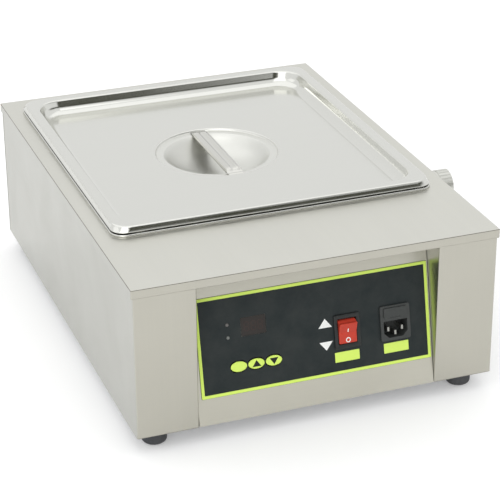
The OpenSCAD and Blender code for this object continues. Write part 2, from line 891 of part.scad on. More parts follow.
module fuse_drawer() {
    front = -overlay_t - bezel_t;
    grip_share = 0.5;
    color([0.1, 0.1, 0.1]) difference() {
        union() {
            on_panel(inlet_u, inlet_v + drawer_v, front)
                panel_plate(drawer_w, drawer_h, drawer_depth, slice * 2);
            on_panel(inlet_u, inlet_v + drawer_v, front - drawer_lip_t)
                panel_plate(drawer_w + drawer_lip, drawer_h + drawer_lip, drawer_lip_t, drawer_lip);
        }
        on_panel(inlet_u - drawer_w / 2 + drawer_wall, inlet_v + drawer_v - drawer_h / 2 + drawer_wall,
                front + drawer_depth / 2 - fuse_d / 2 - slot_gap)
            cube([drawer_w - 2 * drawer_wall, fuse_d + 2 * slot_gap, drawer_h]);
        on_panel(inlet_u, inlet_v + drawer_v - drawer_h / 2 - drawer_lip, front - drawer_lip_t - over)
            panel_plate(drawer_w * grip_share, drawer_grip, drawer_lip_t + over, slice * 2);
    }
}

module fuse() {
    glass_share = 0.9;
    color("whitesmoke")
        on_panel(inlet_u, inlet_v + drawer_v - drawer_h / 2 + drawer_wall + fuse_d / 2 + slice,
                -overlay_t - bezel_t + drawer_depth / 2)
            rotate([0, 90, 0]) {
                cylinder(d = fuse_d * glass_share, h = fuse_len, center = true);
                for (s = [-1, 1])
                    translate([0, 0, s * (fuse_len - fuse_cap_len) / 2])
                        cylinder(d = fuse_d, h = fuse_cap_len, center = true);
            }
}

// Heater legs and probe: where they go through the tank's front wall
heater_level = z_tank_floor + heater_z;
gland_places = [[-heater_span / 2, heater_level], [heater_span / 2, heater_level]];

module through_tank_front(x, z, d) {
    translate([x, y_tank_front + sheet_t + over, z])
        rotate([90, 0, 0]) cylinder(d = d, h = sheet_t + 2 * over);
}

module water_tank() {
    depth = z_deck - sheet_t - z_tank_floor;
    color("lightgray") difference() {
        union() {
            translate([0, pan_y, z_tank_floor - sheet_t])
                linear_extrude(depth + sheet_t)
                    rounded(tank_w + 2 * sheet_t, tank_d + 2 * sheet_t, tank_r + sheet_t);
            translate([0, pan_y, z_deck - 2 * sheet_t])
                linear_extrude(sheet_t)
                    rounded(tank_w + 2 * tank_flange, tank_d + 2 * tank_flange, tank_r + tank_flange);
        }
        translate([0, pan_y, z_tank_floor])
            linear_extrude(depth + over) rounded(tank_w, tank_d, tank_r);
        for (p = gland_places) through_tank_front(p[0], p[1], heater_d + 2 * hole_gap);
        through_tank_front(0, heater_level, probe_d + 2 * hole_gap);
        outlet_hole(hole_gap);
    }
}

// Mineral wool round the tank's walls and under its floor
module insulation() {
    outer_w = tank_w + 2 * (sheet_t + wool_t);
    outer_d = tank_d + 2 * (sheet_t + wool_t);
    top = z_deck - 2 * sheet_t - sheet_gap;
    floor_low = z_tank_floor - sheet_t - wool_t;
    color("cornsilk") difference() {
        translate([0, pan_y, floor_low])
            linear_extrude(top - floor_low) rounded(outer_w, outer_d, tank_r + wool_t);
        translate([0, pan_y, z_tank_floor - sheet_t - slice])
            linear_extrude(body_h)
                rounded(tank_w + 2 * sheet_t + slice, tank_d + 2 * sheet_t + slice, tank_r + sheet_t);
        for (x = [-heater_span / 2, 0, heater_span / 2])
            translate([x, y_tank_front + over, heater_level])
                rotate([90, 0, 0]) cylinder(d = gland_w * 1.5, h = wool_t + 2 * over);
        translate([cutout_x - cutout_ear / 2 - over, y_tank_front - wool_t - over,
                z_base + cutout_z - cutout_d / 2 - over])
            cube([cutout_ear + 2 * over, wool_t + 2 * over, cutout_d + 2 * over]);
        outlet_hole(outlet_collar_d - outlet_d + 2 * over);
    }
}

// The heater: two straight legs, two quarter bends and a cross run at the back
module heating_element() {
    back = pan_y + tank_d / 2 - heater_margin;
    front = y_tank_front - heater_tail;
    leg = heater_span / 2;
    color("dimgray") translate([0, 0, heater_level]) {
        for (s = [-1, 1]) {
            translate([s * leg, front, 0])
                rotate([-90, 0, 0]) cylinder(d = heater_d, h = back - heater_bend - front);
            translate([s * leg, front - heater_pin_len, 0])
                rotate([-90, 0, 0]) cylinder(d = heater_pin_d, h = heater_pin_len + over);
            mirror([s > 0 ? 0 : 1, 0, 0])
                translate([leg - heater_bend, back - heater_bend, 0])
                    rotate_extrude(angle = 90) translate([heater_bend, 0]) circle(d = heater_d);
        }
        translate([-leg + heater_bend, back, 0])
            rotate([0, 90, 0]) cylinder(d = heater_d, h = heater_span - 2 * heater_bend);
    }
}

module gland(x, d) {
    translate([x, y_tank_front, heater_level])
        rotate([90, 0, 0]) nut(gland_w, gland_h, d + 2 * hole_gap);
}

module heater_nuts() {
    color("goldenrod") for (p = gland_places) gland(p[0], heater_d);
}

module probe_nut() {
    color("goldenrod") gland(0, probe_d);
}

module heater_clips() {
    clip_h = heater_z + heater_d / 2 + clip_wall;
    clip_share = [0.3, 0.75];
    color("lightgray") difference() {
        for (s = [-1, 1], share = clip_share)
            translate([s * heater_span / 2 - clip_w / 2,
                    y_tank_front + share * (tank_d - heater_margin - heater_bend), z_tank_floor])
                cube([clip_w, clip_t, clip_h]);
        for (s = [-1, 1])
            translate([s * heater_span / 2, pan_y + tank_d / 2, heater_level])
                rotate([90, 0, 0]) cylinder(d = heater_d + 2 * hole_gap, h = tank_d);
    }
}

module temperature_probe() {
    color("silver") translate([0, y_tank_front - probe_tail, heater_level])
        rotate([-90, 0, 0]) cylinder(d = probe_d, h = probe_tail + sheet_t + probe_len);
}

module thermal_cutout() {
    color("ivory") translate([cutout_x, y_tank_front, z_base + cutout_z]) {
        rotate([90, 0, 0]) cylinder(d = cutout_d, h = cutout_h);
        translate([-cutout_ear / 2, -cutout_ear_t, -cutout_ear_h / 2])
            cube([cutout_ear, cutout_ear_t, cutout_ear_h]);
        for (s = [-1, 1])
            translate([s * cutout_d / 4 - tab_w / 4, -cutout_h - tab_len, -tab_t / 2])
                cube([tab_w / 2, tab_len + tab_t, tab_t]);
    }
}

// Outlet: a pipe through the tank's and the body's right walls, its gasket and its screw cap
outlet_end = half_w + outlet_reach - cap_end_t - gasket_t;
outlet_start = tank_w / 2;

module at_outlet(x) {
    translate([x, -half_d + outlet_y, z_base + outlet_z]) rotate([0, 90, 0]) children();
}

module overflow_pipe() {
    color("silver") difference() {
        union() {
            at_outlet(outlet_start) cylinder(d = outlet_d, h = outlet_end - outlet_start);
            at_outlet(outlet_start + sheet_t) cylinder(d = outlet_collar_d, h = outlet_collar_t);
        }
        at_outlet(outlet_start - over) cylinder(d = outlet_bore, h = body_w);
    }
}

module cap_gasket() {
    color("dimgray") at_outlet(outlet_end) cylinder(d = outlet_d, h = gasket_t);
}

module overflow_cap() {
    start = half_w + outlet_reach - cap_len;
    color("silver") difference() {
        at_outlet(start) cylinder(d = cap_d, h = cap_len);
        at_outlet(start - over) cylinder(d = outlet_d + 2 * slot_gap, h = over + cap_len - cap_end_t);
        for (i = [0 : cap_flutes - 1])
            at_outlet(start + cap_len * cap_groove_share + groove_w)
                rotate(i * 360 / cap_flutes) translate([(cap_d + flute_d) / 2 - groove_depth, 0, 0])
                    cylinder(d = flute_d, h = cap_len);
        at_outlet(start + cap_len * cap_groove_share)
            difference() {
                cylinder(d = cap_d + 2 * over, h = groove_w);
                translate([0, 0, -over]) cylinder(d = cap_d - 2 * groove_depth, h = groove_w + 2 * over);
            }
    }
}

module rubber_feet() {
    r = foot_d / 2;
    color([0.2, 0.22, 0.25]) for (p = foot_places)
        translate([p[0], p[1], 0])
            difference() {
                rotate_extrude() {
                    translate([0, foot_round]) square([r, foot_h - foot_round]);
                    square([r - foot_round, foot_h]);
                    intersection() {
                        translate([r - foot_round, foot_round]) circle(r = foot_round);
                        square([r, foot_h]);
                    }
                }
                translate([0, 0, -over])
                    cylinder(d = foot_screw_head_d + 4 * hole_gap, h = foot_bore_depth + over);
                translate([0, 0, -over]) cylinder(d = foot_screw_d + 2 * hole_gap, h = foot_h + 2 * over);
            }
}

module foot_screws() {
    color("silver") for (p = foot_places)
        translate([p[0], p[1], foot_bore_depth])
            screw(foot_screw_d, foot_screw_head_d, foot_screw_head_h,
                foot_h - foot_bore_depth + sheet_t + nut_h + screw_tip);
}

module foot_nuts() {
    color("silver") for (p = foot_places)
        translate([p[0], p[1], z_base + sheet_t]) nut(foot_nut_w, nut_h, foot_screw_d + hole_gap / 4);
}

module back_screws() {
    color("silver") for (sx = [-1, 1], s = back_screw_share)
        translate([sx * (x_wall - inner_flange / 2), y_back, z_flange + s * (z_wall_top - z_flange)])
            rotate([90, 0, 0]) screw();
}

module base_screws() {
    color("silver") for (p = base_screw_places) translate([p[0], p[1], z_base]) screw();
}

module earth_stud() {
    color("goldenrod") translate([stud_x, stud_y, z_base]) {
        translate([0, 0, -lug_t]) cylinder(d = lug_d, h = lug_t);
        cylinder(d = stud_d, h = stud_h);
        translate([0, 0, sheet_t]) cylinder(d = nut_w / cos(30), h = nut_h, $fn = 6);
        translate([0, 0, sheet_t + nut_h]) cylinder(d = lug_d, h = lug_t);
    }
}

// Ends of the wires: the inlet's and the switch's tabs, the board's terminals and the heater
function inlet_tab(i) = panel_point(inlet_u + blade_places[i][0], inlet_v + socket_v + blade_places[i][1],
    inlet_depth - overlay_t + tab_len + wire_tip);
function switch_tab(su, sv) = panel_point(rocker_u + su * tab_spread_share * switch_body_w,
    rocker_v + sv * tab_spread_share * switch_body_l, switch_depth - overlay_t + tab_len + wire_tip);
function terminal(i) = panel_point(board_u + terminal_place[0]
    + (i - (terminal_count - 1) / 2) * terminal_size[0] / terminal_count,
    board_v + terminal_place[1], z_board + board_t + terminal_size[2] + wire_tip);
function heater_end(s) =
    [s * heater_span / 2, y_tank_front - heater_tail - heater_pin_len - wire_tip, heater_level];

module mains_leads() {
    color("saddlebrown") {
        wire(inlet_tab(0), panel_back, switch_tab(1, -1), panel_back);
        wire(inlet_tab(1), panel_back, switch_tab(1, 1), panel_back, wire_reach * 1.4);
        wire(switch_tab(-1, -1), panel_back, terminal(5), panel_back);
        wire(switch_tab(-1, 1), panel_back, terminal(4), panel_back, wire_reach * 1.4);
    }
}

module heater_leads() {
    color("white") {
        wire(terminal(0), panel_back, heater_end(-1), [0, -1, 0], wire_reach / 2);
        wire(terminal(3), unit([0, 1, -2]), heater_end(1), [0, -1, 0], wire_reach * 1.2);
    }
}

module probe_lead() {
    color("black")
        wire(terminal(2), panel_back, [0, y_tank_front - probe_tail - wire_tip, heater_level], [0, -1, 0],
            wire_reach / 2);
}

module earth_lead() {
    color("yellowgreen")
        wire(inlet_tab(2), panel_back, [stud_x, stud_y, z_base + stud_h + wire_tip], [0, 0, 1], wire_reach / 2);
}

// The pan: a drawn tub with round feet to its walls, hung by a flat flange with a turned-down edge
module pan_tub(grow, low, high) {
    r = pan_corner + grow;
    foot = pan_foot_r + grow;
    steps = [0, 30, 60, 90];
    floor_in = pan_draft - grow;
    tub(mouth_w, mouth_d, concat(
        [for (a = steps) [low + foot * (1 - cos(a)), floor_in + foot * (1 - sin(a)),
            r - pan_draft / 2 - foot * (1 - sin(a)) / 2]],
        [[high, -grow, r]]));
}

module pan() {
    color("gainsboro") difference() {
        union() {
            translate([0, pan_y, 0]) pan_tub(pan_t, z_pan_floor - pan_t, z_pan_top - slice);
            translate([0, pan_y, z_pan_top - pan_t]) linear_extrude(pan_t) rounded(pan_w, pan_d, pan_flange_r);
            translate([0, pan_y, z_deck]) linear_extrude(pan_lip_h) difference() {
                rounded(pan_w, pan_d, pan_flange_r);
                rounded(pan_w - 2 * pan_t, pan_d - 2 * pan_t, pan_flange_r - pan_t);
            }
        }
        translate([0, pan_y, 0]) pan_tub(0, z_pan_floor, z_pan_top + over);
    }
}

// Rings of the lid's rim, with its outer edge rounded
function rim_rings(grow, low, high) = let (r = lid_edge_r + grow)
    concat([[low, -grow, lid_r + grow]],
        [for (a = [0, 30, 60, 90])
            [high - r * (1 - sin(a)), -grow + r * (1 - cos(a)), lid_r + grow - r * (1 - cos(a)) / 2]]);

// Rings of the pocket inside the rim, from its floor up, with a rounded foot
function pocket_rings(grow, low, high) =
    [[low, lid_rim_w + lid_slope_w - grow + lid_edge_r, lid_pocket_r + grow - lid_edge_r],
     [low + lid_edge_r / 4, lid_rim_w + lid_slope_w - grow, lid_pocket_r + grow],
     [z_rim, lid_rim_w - grow, lid_pocket_r + lid_slope_w / 2 + grow],
     [high, lid_rim_w - grow, lid_pocket_r + lid_slope_w / 2 + grow]];

// Outline of the dish: rounded lip, shallow ledge, steep wall and a flatter floor
function dish_outline(grow) = let (r = dish_r + grow, b = bowl_r + grow)
    [[0, over], [r, over], [r, 0], [r - dish_edge_r, -ledge_drop - grow], [b, -ledge_drop - grow],
     [b - dish_edge_r, -ledge_drop - dish_edge_r - grow],
     [b * (1 + bowl_floor_share) / 2, -dish_depth * (1 + bowl_floor_share) / 2 - grow],
     [b * bowl_floor_share, -dish_depth + dish_edge_r - grow],
     [b * bowl_floor_share / 2, -dish_depth - grow], [0, -dish_depth - grow]];

module dish_solid(grow, top) {
    translate([0, pan_y, z_lid]) intersection() {
        rotate_extrude() polygon(dish_outline(grow));
        translate([-dish_r - over, -dish_r - over, -2 * dish_depth])
            cube([2 * (dish_r + over), 2 * (dish_r + over), 2 * dish_depth + top]);
    }
}

module lid() {
    color("gainsboro") difference() {
        union() {
            difference() {
                translate([0, pan_y, 0]) tub(lid_w, lid_d, rim_rings(0, z_lid_hem, z_rim));
                translate([0, pan_y, 0]) tub(lid_w, lid_d, rim_rings(-lid_t, z_lid_hem - over, z_rim - lid_t));
            }
            translate([0, pan_y, 0])
                tub(lid_w, lid_d, [for (q = pocket_rings(lid_t, z_lid - lid_t, z_rim - lid_t / 2))
                    [min(q[0], z_rim - lid_t / 2), q[1], q[2]]]);
            dish_solid(lid_t, 0);
        }
        translate([0, pan_y, 0]) tub(lid_w, lid_d, pocket_rings(0, z_lid, z_rim + over));
        dish_solid(0, over);
    }
}

// The strap handle: a channel with two lengthwise beads, let down at its ends to tabs on the ledge
module lid_handle() {
    length = 2 * sqrt(pow(dish_r - dish_edge_r - slot_gap, 2) - pow(strap_w / 2, 2));
    span = length - 2 * strap_tab;
    top = z_lid + strap_proud;
    tab_top = z_lid - ledge_drop + strap_t;
    color("silver") translate([0, pan_y, 0]) difference() {
        union() {
            translate([-strap_w / 2, -span / 2, top - strap_t]) cube([strap_w, span, strap_t]);
            for (s = [-1, 1]) {
                translate([s * (strap_w - strap_t) / 2 - strap_t / 2, -span / 2, top - strap_side])
                    cube([strap_t, span, strap_side]);
                translate([-strap_w / 2, s * (length / 2 - strap_tab / 2) - strap_tab / 2, tab_top - strap_t])
                    cube([strap_w, strap_tab, strap_t]);
                translate([-strap_w / 2, s * (span / 2 - strap_t / 2) - strap_t / 2, tab_top - strap_t])
                    cube([strap_w, strap_t, top - tab_top + strap_t]);
                translate([s * strap_w / 4, 0, top]) rotate([90, 0, 0])
                    cylinder(d = bead_d, h = span - 2 * bead_d, center = true);
            }
        }
        translate([-strap_w, -length, top + bead_d / 4]) cube([2 * strap_w, 2 * length, bead_d]);
    }
}

deck_cover();
left_wall();
right_wall();
back_panel();
base_plate();
left_post();
right_post();
control_panel();
panel_overlay();
display_window();
display_module();
heat_lamp();
alarm_lamp();
set_key();
up_key();
down_key();
key_switches();
control_board();
board_posts();
board_screws();
relay();
transformer();
terminal_block();
switch_housing();
rocker();
switch_tabs();
inlet_housing();
inlet_pins();
fuse_drawer();
fuse();
water_tank();
insulation();
heating_element();
heater_nuts();
heater_clips();
temperature_probe();
probe_nut();
thermal_cutout();
overflow_pipe();
cap_gasket();
overflow_cap();
rubber_feet();
foot_screws();
foot_nuts();
back_screws();
base_screws();
earth_stud();
mains_leads();
heater_leads();
probe_lead();
earth_lead();
pan();
lid();
lid_handle();
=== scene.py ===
# %% [markdown]
# # An electric melting pot in brushed steel
# The machine is a folded steel box with a well, a deep pan that hangs in the well, a pressed lid
# and a panel that leans back between two posts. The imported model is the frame: its solids give
# every size, and what is made here is the finish, the bends and the small printed things.

# %% Load the frame
import math

import bmesh
import bpy
from mathutils import Matrix, Vector


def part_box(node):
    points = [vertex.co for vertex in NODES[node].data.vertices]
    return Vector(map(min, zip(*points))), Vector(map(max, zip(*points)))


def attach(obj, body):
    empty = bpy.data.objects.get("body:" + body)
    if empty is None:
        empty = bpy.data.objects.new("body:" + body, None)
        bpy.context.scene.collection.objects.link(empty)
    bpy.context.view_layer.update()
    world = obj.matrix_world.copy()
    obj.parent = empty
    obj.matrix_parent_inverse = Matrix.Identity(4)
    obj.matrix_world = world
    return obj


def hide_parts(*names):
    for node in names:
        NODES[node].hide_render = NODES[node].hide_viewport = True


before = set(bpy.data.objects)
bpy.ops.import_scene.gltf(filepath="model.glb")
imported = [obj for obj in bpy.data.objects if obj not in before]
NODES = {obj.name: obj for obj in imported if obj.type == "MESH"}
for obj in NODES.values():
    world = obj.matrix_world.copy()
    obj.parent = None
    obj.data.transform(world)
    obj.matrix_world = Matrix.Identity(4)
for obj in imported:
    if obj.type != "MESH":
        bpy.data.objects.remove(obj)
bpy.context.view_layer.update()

MM = 0.001


def mm(*numbers):
    """Several measures, given in millimetres, in the frame's metres."""
    return [number * MM for number in numbers]


# %% [markdown]
# ## Measures from the frame
# Nothing is measured twice. The deck's box gives the outline and the height, the pan's box the
# flange that the lid covers, and each small part's box the place of what is drawn on it. Sizes
# that the boxes can't tell, such as a bend's radius, are named once, where they are needed.

# %% Main measures
deck_low, deck_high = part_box("deck_cover")
pan_low, pan_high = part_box("pan")
tank_low, tank_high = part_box("water_tank")
lid_low, lid_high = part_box("lid")
wall_low, wall_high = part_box("right_wall")
post_low, post_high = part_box("right_post")

SHEET = 1.0 * MM
BEND = 1.6 * MM
deck_w = deck_high.x - deck_low.x
deck_d = deck_high.y - deck_low.y
deck_z = deck_high.z
body_z = wall_low.z
pan_y = (pan_low.y + pan_high.y) / 2
front_y = post_low.y
print("deck", round(deck_w, 4), round(deck_d, 4), "top at", round(deck_z, 4))

# %% [markdown]
# ## The control panel's own axes
# Everything on the panel is placed in the panel's plane: sideways from its middle, up its slope
# and depth behind its face. One matrix turns those three numbers into the object's frame, so a
# key is written as it would be on the panel maker's drawing.

# %% Panel axes
TILT = math.radians(12)
panel_frame = Matrix.Translation((0, front_y, body_z)) @ Matrix.Rotation(-TILT, 4, "X")


def on_panel(side, up, back=0.0):
    """A point of the panel in the object's frame."""
    return panel_frame @ Vector((side, back, up))


def middle_side(node):
    """How far a node's middle lies to the side of the panel's middle."""
    low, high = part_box(node)
    return (low.x + high.x) / 2


FILM = 0.5 * MM
OVERLAY_W, OVERLAY_H = mm(230, 95)
OVERLAY_SIDE, OVERLAY_UP = mm(1.5, 73)
print("panel's foot at", [round(v, 4) for v in on_panel(0, 0)])

# %% [markdown]
# ## Camera
# The photograph was taken with a long lens from the front left, looking down on the deck. A
# camera is easiest to aim by a direction: the bearing and the dip give the view's axis, and a
# small roll levels it. The print below gives the pixels of the deck's four corners, to compare.

# %% Camera
CAMERA_AT = Vector((-577.8, -1633.2, 897.9)) * MM
BEARING, DIP, ROLL = math.radians(20.12), math.radians(25.55), math.radians(0.36)
FRAME_PX, FOCAL_PX = 500, 1864.0


def new_object(name, data):
    """An object in the scene, from its data."""
    obj = bpy.data.objects.new(name, data)
    bpy.context.scene.collection.objects.link(obj)
    return obj


forward = Vector((math.sin(BEARING) * math.cos(DIP), math.cos(BEARING) * math.cos(DIP), -math.sin(DIP)))
level = Vector((math.cos(BEARING), -math.sin(BEARING), 0))
upright = level.cross(forward)
turn = Matrix.Rotation(ROLL, 3, forward)
right, above = turn @ level, turn @ upright

camera = new_object("camera", bpy.data.cameras.new("camera"))
camera.data.lens = camera.data.sensor_width * FOCAL_PX / FRAME_PX
camera.data.clip_end = 30
axes = Matrix((right, above, -forward)).transposed()
camera.matrix_world = Matrix.Translation(CAMERA_AT) @ axes.to_4x4()
bpy.context.scene.camera = camera


def pixel(point):
    """Where a point of the frame falls in the 500-pixel picture."""
    ray = Vector(point) - CAMERA_AT
    depth = ray.dot(forward)
    across = FRAME_PX / 2 + FOCAL_PX * ray.dot(right) / depth
    down = FRAME_PX / 2 - FOCAL_PX * ray.dot(above) / depth
    return round(across, 1), round(down, 1)


for name, x, y in (("front left", deck_low.x, deck_low.y), ("front right", deck_high.x, deck_low.y),
                   ("back left", deck_low.x, deck_high.y), ("back right", deck_high.x, deck_high.y)):
    print(name, "corner at pixel", pixel((x, y, deck_z)))

# %% [markdown]
# ## Helpers that make meshes
# Pressed steel is a stack of rounded rectangles: each has a size, a height and a corner radius,
# and the skin between two of them is a band of quads. Every rounded rectangle here has the same
# number of points, so any two can be joined, and so can a rectangle and a circle.

# %% Mesh helpers
CORNER_STEPS = 10
QUARTER, HALF, FULL = math.pi / 2, math.pi, 2 * math.pi


def angles(steps, span=QUARTER, first=1):
    """Even steps of a turn, from its first step to its whole span."""
    return [span * k / steps for k in range(first, steps + 1)]


def full_turn(steps):
    """Even steps round a circle, each place once."""
    return [FULL * k / steps for k in range(steps)]


def on_circle(radius, angle, centre=(0.0, 0.0)):
    """The two coordinates of a point on a circle."""
    return centre[0] + radius * math.cos(angle), centre[1] + radius * math.sin(angle)


def rounded_loop(w, d, r, z, centre=(0.0, 0.0)):
    """Points of a rounded rectangle at height z, anticlockwise."""
    r = max(min(r, w / 2, d / 2), 1e-6)
    points = []
    for quarter, (sx, sy) in enumerate(((1, 1), (-1, 1), (-1, -1), (1, -1))):
        middle = (centre[0] + sx * (w / 2 - r), centre[1] + sy * (d / 2 - r))
        for step in range(CORNER_STEPS + 1):
            a = QUARTER * (quarter + step / CORNER_STEPS)
            points.append(Vector((*on_circle(r, a, middle), z)))
    return points


def inset_loop(size, inset, r, z, centre=(0.0, 0.0)):
    """A rounded rectangle inside another one's size, by the same inset all round."""
    return rounded_loop(size[0] - 2 * inset, size[1] - 2 * inset, r, z, centre)


def circle_loop(radius, z, centre):
    """A circle with as many even points as a rounded rectangle, its corners at 45 degrees."""
    count = 4 * (CORNER_STEPS + 1)
    corner_middle = CORNER_STEPS / 2
    turned_by = [QUARTER / 2 + FULL * (k - corner_middle) / count for k in range(count)]
    return [Vector((*on_circle(radius, a, centre), z)) for a in turned_by]


def arc(z_from, in_from, z_to, in_to, bulge_first_down, steps=5):
    """Heights and insets of a quarter bend between two levels."""
    rows = []
    for a in angles(steps):
        first, second = math.sin(a), 1 - math.cos(a)
        dz, di = (first, second) if bulge_first_down else (second, first)
        rows.append((z_from + (z_to - z_from) * dz, in_from + (in_to - in_from) * di))
    return rows


def mesh_object(name, points, faces, smooth=True):
    """A new mesh object at the origin."""
    mesh = bpy.data.meshes.new(name)
    mesh.from_pydata([tuple(p) for p in points], [], faces)
    mesh.validate()
    mesh.update()
    if smooth:
        mesh.shade_smooth()
    return new_object(name, mesh)


def side_faces(base, count, above=None):
    """Quads from one closed ring of points, that starts at base, to the next or a given one."""
    above = base + count if above is None else above
    turns = [(k, (k + 1) % count) for k in range(count)]
    return [(base + k, base + n, above + n, above + k) for k, n in turns]


def grid_faces(rows, columns):
    """Quads of an open grid of points."""
    return [(r * columns + c, r * columns + c + 1, (r + 1) * columns + c + 1, (r + 1) * columns + c)
            for r in range(rows - 1) for c in range(columns - 1)]


def loft(name, loops, close_start=False, close_end=False, place=None, smooth=True):
    """A skin of quads over loops that all have the same number of points."""
    count = len(loops[0])
    points = [place(p) if place else p for loop in loops for p in loop]
    faces = []
    for row in range(len(loops) - 1):
        faces += side_faces(row * count, count)
    if close_start:
        faces.append(tuple(reversed(range(count))))
    if close_end:
        last = (len(loops) - 1) * count
        faces.append(tuple(range(last, last + count)))
    return mesh_object(name, points, faces, smooth)


def face_outwards(obj, inside_out=False):
    """Makes the mesh's faces agree, pointing outwards."""
    bm = bmesh.new()
    bm.from_mesh(obj.data)
    bmesh.ops.remove_doubles(bm, verts=bm.verts, dist=1e-6)
    bmesh.ops.recalc_face_normals(bm, faces=bm.faces)
    if inside_out:
        bmesh.ops.reverse_faces(bm, faces=bm.faces)
    bm.to_mesh(obj.data)
    bm.free()
    obj.data.update()


def thicken(obj, thickness, even_shade=True):
    """Gives a skin its sheet thickness, behind its faces, and lets flat faces look flat."""
    wall = obj.modifiers.new("sheet", "SOLIDIFY")
    wall.thickness = thickness
    wall.offset = -1.0
    wall.use_even_offset = True
    if even_shade:
        obj.modifiers.new("flat faces", "WEIGHTED_NORMAL")


def soften(obj, width, segments, angle):
    """A small bevel on sharp edges, so that they catch the light."""
    edge = obj.modifiers.new("edges", "BEVEL")
    edge.width = width
    edge.segments = segments
    edge.limit_method = "ANGLE"
    edge.angle_limit = math.radians(angle)
    edge.harden_normals = False
    flat = obj.modifiers.new("flat faces", "WEIGHTED_NORMAL")
    flat.keep_sharp = True


def count_faces(obj):
    """Prints how many faces a piece has."""
    print(obj.name, len(obj.data.polygons), "faces")

# %% [markdown]
# ## Shared effects as node groups
# Brushed steel isn't one grey. The belt leaves fine parallel scratches, handling leaves faint
# clouds, and both show more in the gloss than in the colour. One group makes the scratches by
# stretching noise along the grain, a second one makes the clouds, and each metal sets its own
# amounts. Plastics share a third group, the fine spark-eroded texture of a mould.

# %% Node helpers


def feed(node, inputs):
    """Feeds a node's inputs, by name or number: a socket is linked, anything else is a value."""
    for label, value in inputs.items():
        if isinstance(value, bpy.types.NodeSocket):
            node.id_data.links.new(value, node.inputs[label])
        else:
            node.inputs[label].default_value = value


def add(tree, kind, inputs=None, **settings):
    """A node with its settings and its inputs fed."""
    node = tree.nodes.new(kind)
    for key, value in settings.items():
        setattr(node, key, value)
    feed(node, inputs or {})
    return node


def new_group(name, amounts, outputs):
    """An empty shader node group: a vector and named amounts come in, named numbers go out."""
    group = bpy.data.node_groups.new(name, "ShaderNodeTree")
    group.interface.new_socket("Vector", in_out="INPUT", socket_type="NodeSocketVector")
    for label, value in amounts.items():
        socket = group.interface.new_socket(label, in_out="INPUT", socket_type="NodeSocketFloat")
        socket.default_value = value
    for label in outputs:
        group.interface.new_socket(label, in_out="OUTPUT", socket_type="NodeSocketFloat")
    return group, add(group, "NodeGroupInput").outputs, add(group, "NodeGroupOutput")


def math_node(tree, operation, first, *others):
    """The result of one operation over sockets or numbers, taken from left to right."""
    for other in others:
        first = add(tree, "ShaderNodeMath", {0: first, 1: other}, operation=operation).outputs[0]
    return first


def noise(tree, vector, scale, detail, roughness=0.5):
    """A noise texture's factor."""
    inputs = {"Vector": vector, "Scale": scale, "Detail": detail, "Roughness": roughness}
    return add(tree, "ShaderNodeTexNoise", inputs).outputs["Fac"]


def map_range(tree, value, start, stop, low=0.0, high=1.0, soft=False):
    """Start to stop become low to high, with soft ends or straight."""
    inputs = {"Value": value, "From Min": start, "From Max": stop, "To Min": low, "To Max": high}
    ends = "SMOOTHSTEP" if soft else "LINEAR"
    return add(tree, "ShaderNodeMapRange", inputs, interpolation_type=ends).outputs["Result"]


NOISE_RANGE = (0.3, 0.7)


def spread(tree, value, low, high):
    """Maps the range where noise mostly lies on to low to high."""
    return map_range(tree, value, *NOISE_RANGE, low, high)

# %% Grain group


def build_grain():
    """Scratches along the stretched axis: fine hairlines, and broader streaks behind them."""
    group, start, end = new_group("brushed_grain", {"Fine": 1.0, "Broad": 1.0}, ("Streak", "Height"))
    hairline = noise(group, start["Vector"], 900.0, 2.0, 0.6)
    streak = noise(group, start["Vector"], 160.0, 4.0, 0.6)
    fine = math_node(group, "MULTIPLY", math_node(group, "SUBTRACT", hairline, 0.5), start["Fine"])
    broad = math_node(group, "MULTIPLY", math_node(group, "SUBTRACT", streak, 0.5), start["Broad"])
    feed(end, {"Streak": math_node(group, "ADD", fine, broad, 0.5), "Height": hairline})
    return group


def build_handling():
    """Faint clouds where hands and cloths have been, and a few small marks."""
    group, start, end = new_group("handling_marks", {"Size": 12.0}, ("Clouds", "Marks"))
    clouds = add(group, "ShaderNodeTexNoise", {"Vector": start["Vector"], "Scale": start["Size"],
                                               "Detail": 5.0, "Distortion": 0.6})
    dots = add(group, "ShaderNodeTexVoronoi", {"Vector": start["Vector"], "Scale": 70.0}, feature="F1")
    near = map_range(group, dots.outputs["Distance"], 0.03, 0.12, 1.0, 0.0)
    feed(end, {"Clouds": clouds.outputs["Fac"], "Marks": near})
    return group


def build_mould():
    """The fine pebbled surface that a mould gives to plastic and rubber."""
    group, start, end = new_group("mould_texture", {"Scale": 1500.0}, ("Height", "Dust"))
    pebbles = add(group, "ShaderNodeTexVoronoi", {"Vector": start["Vector"], "Scale": start["Scale"]},
                  feature="SMOOTH_F1")
    feed(end, {"Height": pebbles.outputs["Distance"],
               "Dust": noise(group, start["Vector"], 45.0, 6.0, 0.65)})
    return group


GRAIN, HANDLING, MOULD = build_grain(), build_handling(), build_mould()
print("groups:", [g.name for g in (GRAIN, HANDLING, MOULD)])

# %% [markdown]
# ## The metals
# A metal's colour is the colour of what it mirrors, times its own tint, so each steel keeps a
# light base colour and differs in grain and gloss. The grain runs along one axis of the object:
# the Mapping node squeezes the other two, which stretches the noise into lines along that axis.
# The lid was pressed and polished after brushing, so its grain is faint and its gloss high. On
# the wide level pieces the finest scratches are left out: a small picture can't resolve them.

# %% Metals
GRAIN_STRETCH = {"X": (0.02, 1.0, 1.0), "Y": (1.0, 0.02, 1.0), "Z": (1.0, 1.0, 0.02)}


def object_vector(tree, stretch=(1.0, 1.0, 1.0)):
    """Object coordinates through a Mapping node."""
    place = add(tree, "ShaderNodeTexCoord").outputs["Object"]
    return add(tree, "ShaderNodeMapping", {"Vector": place, "Scale": stretch}).outputs["Vector"]


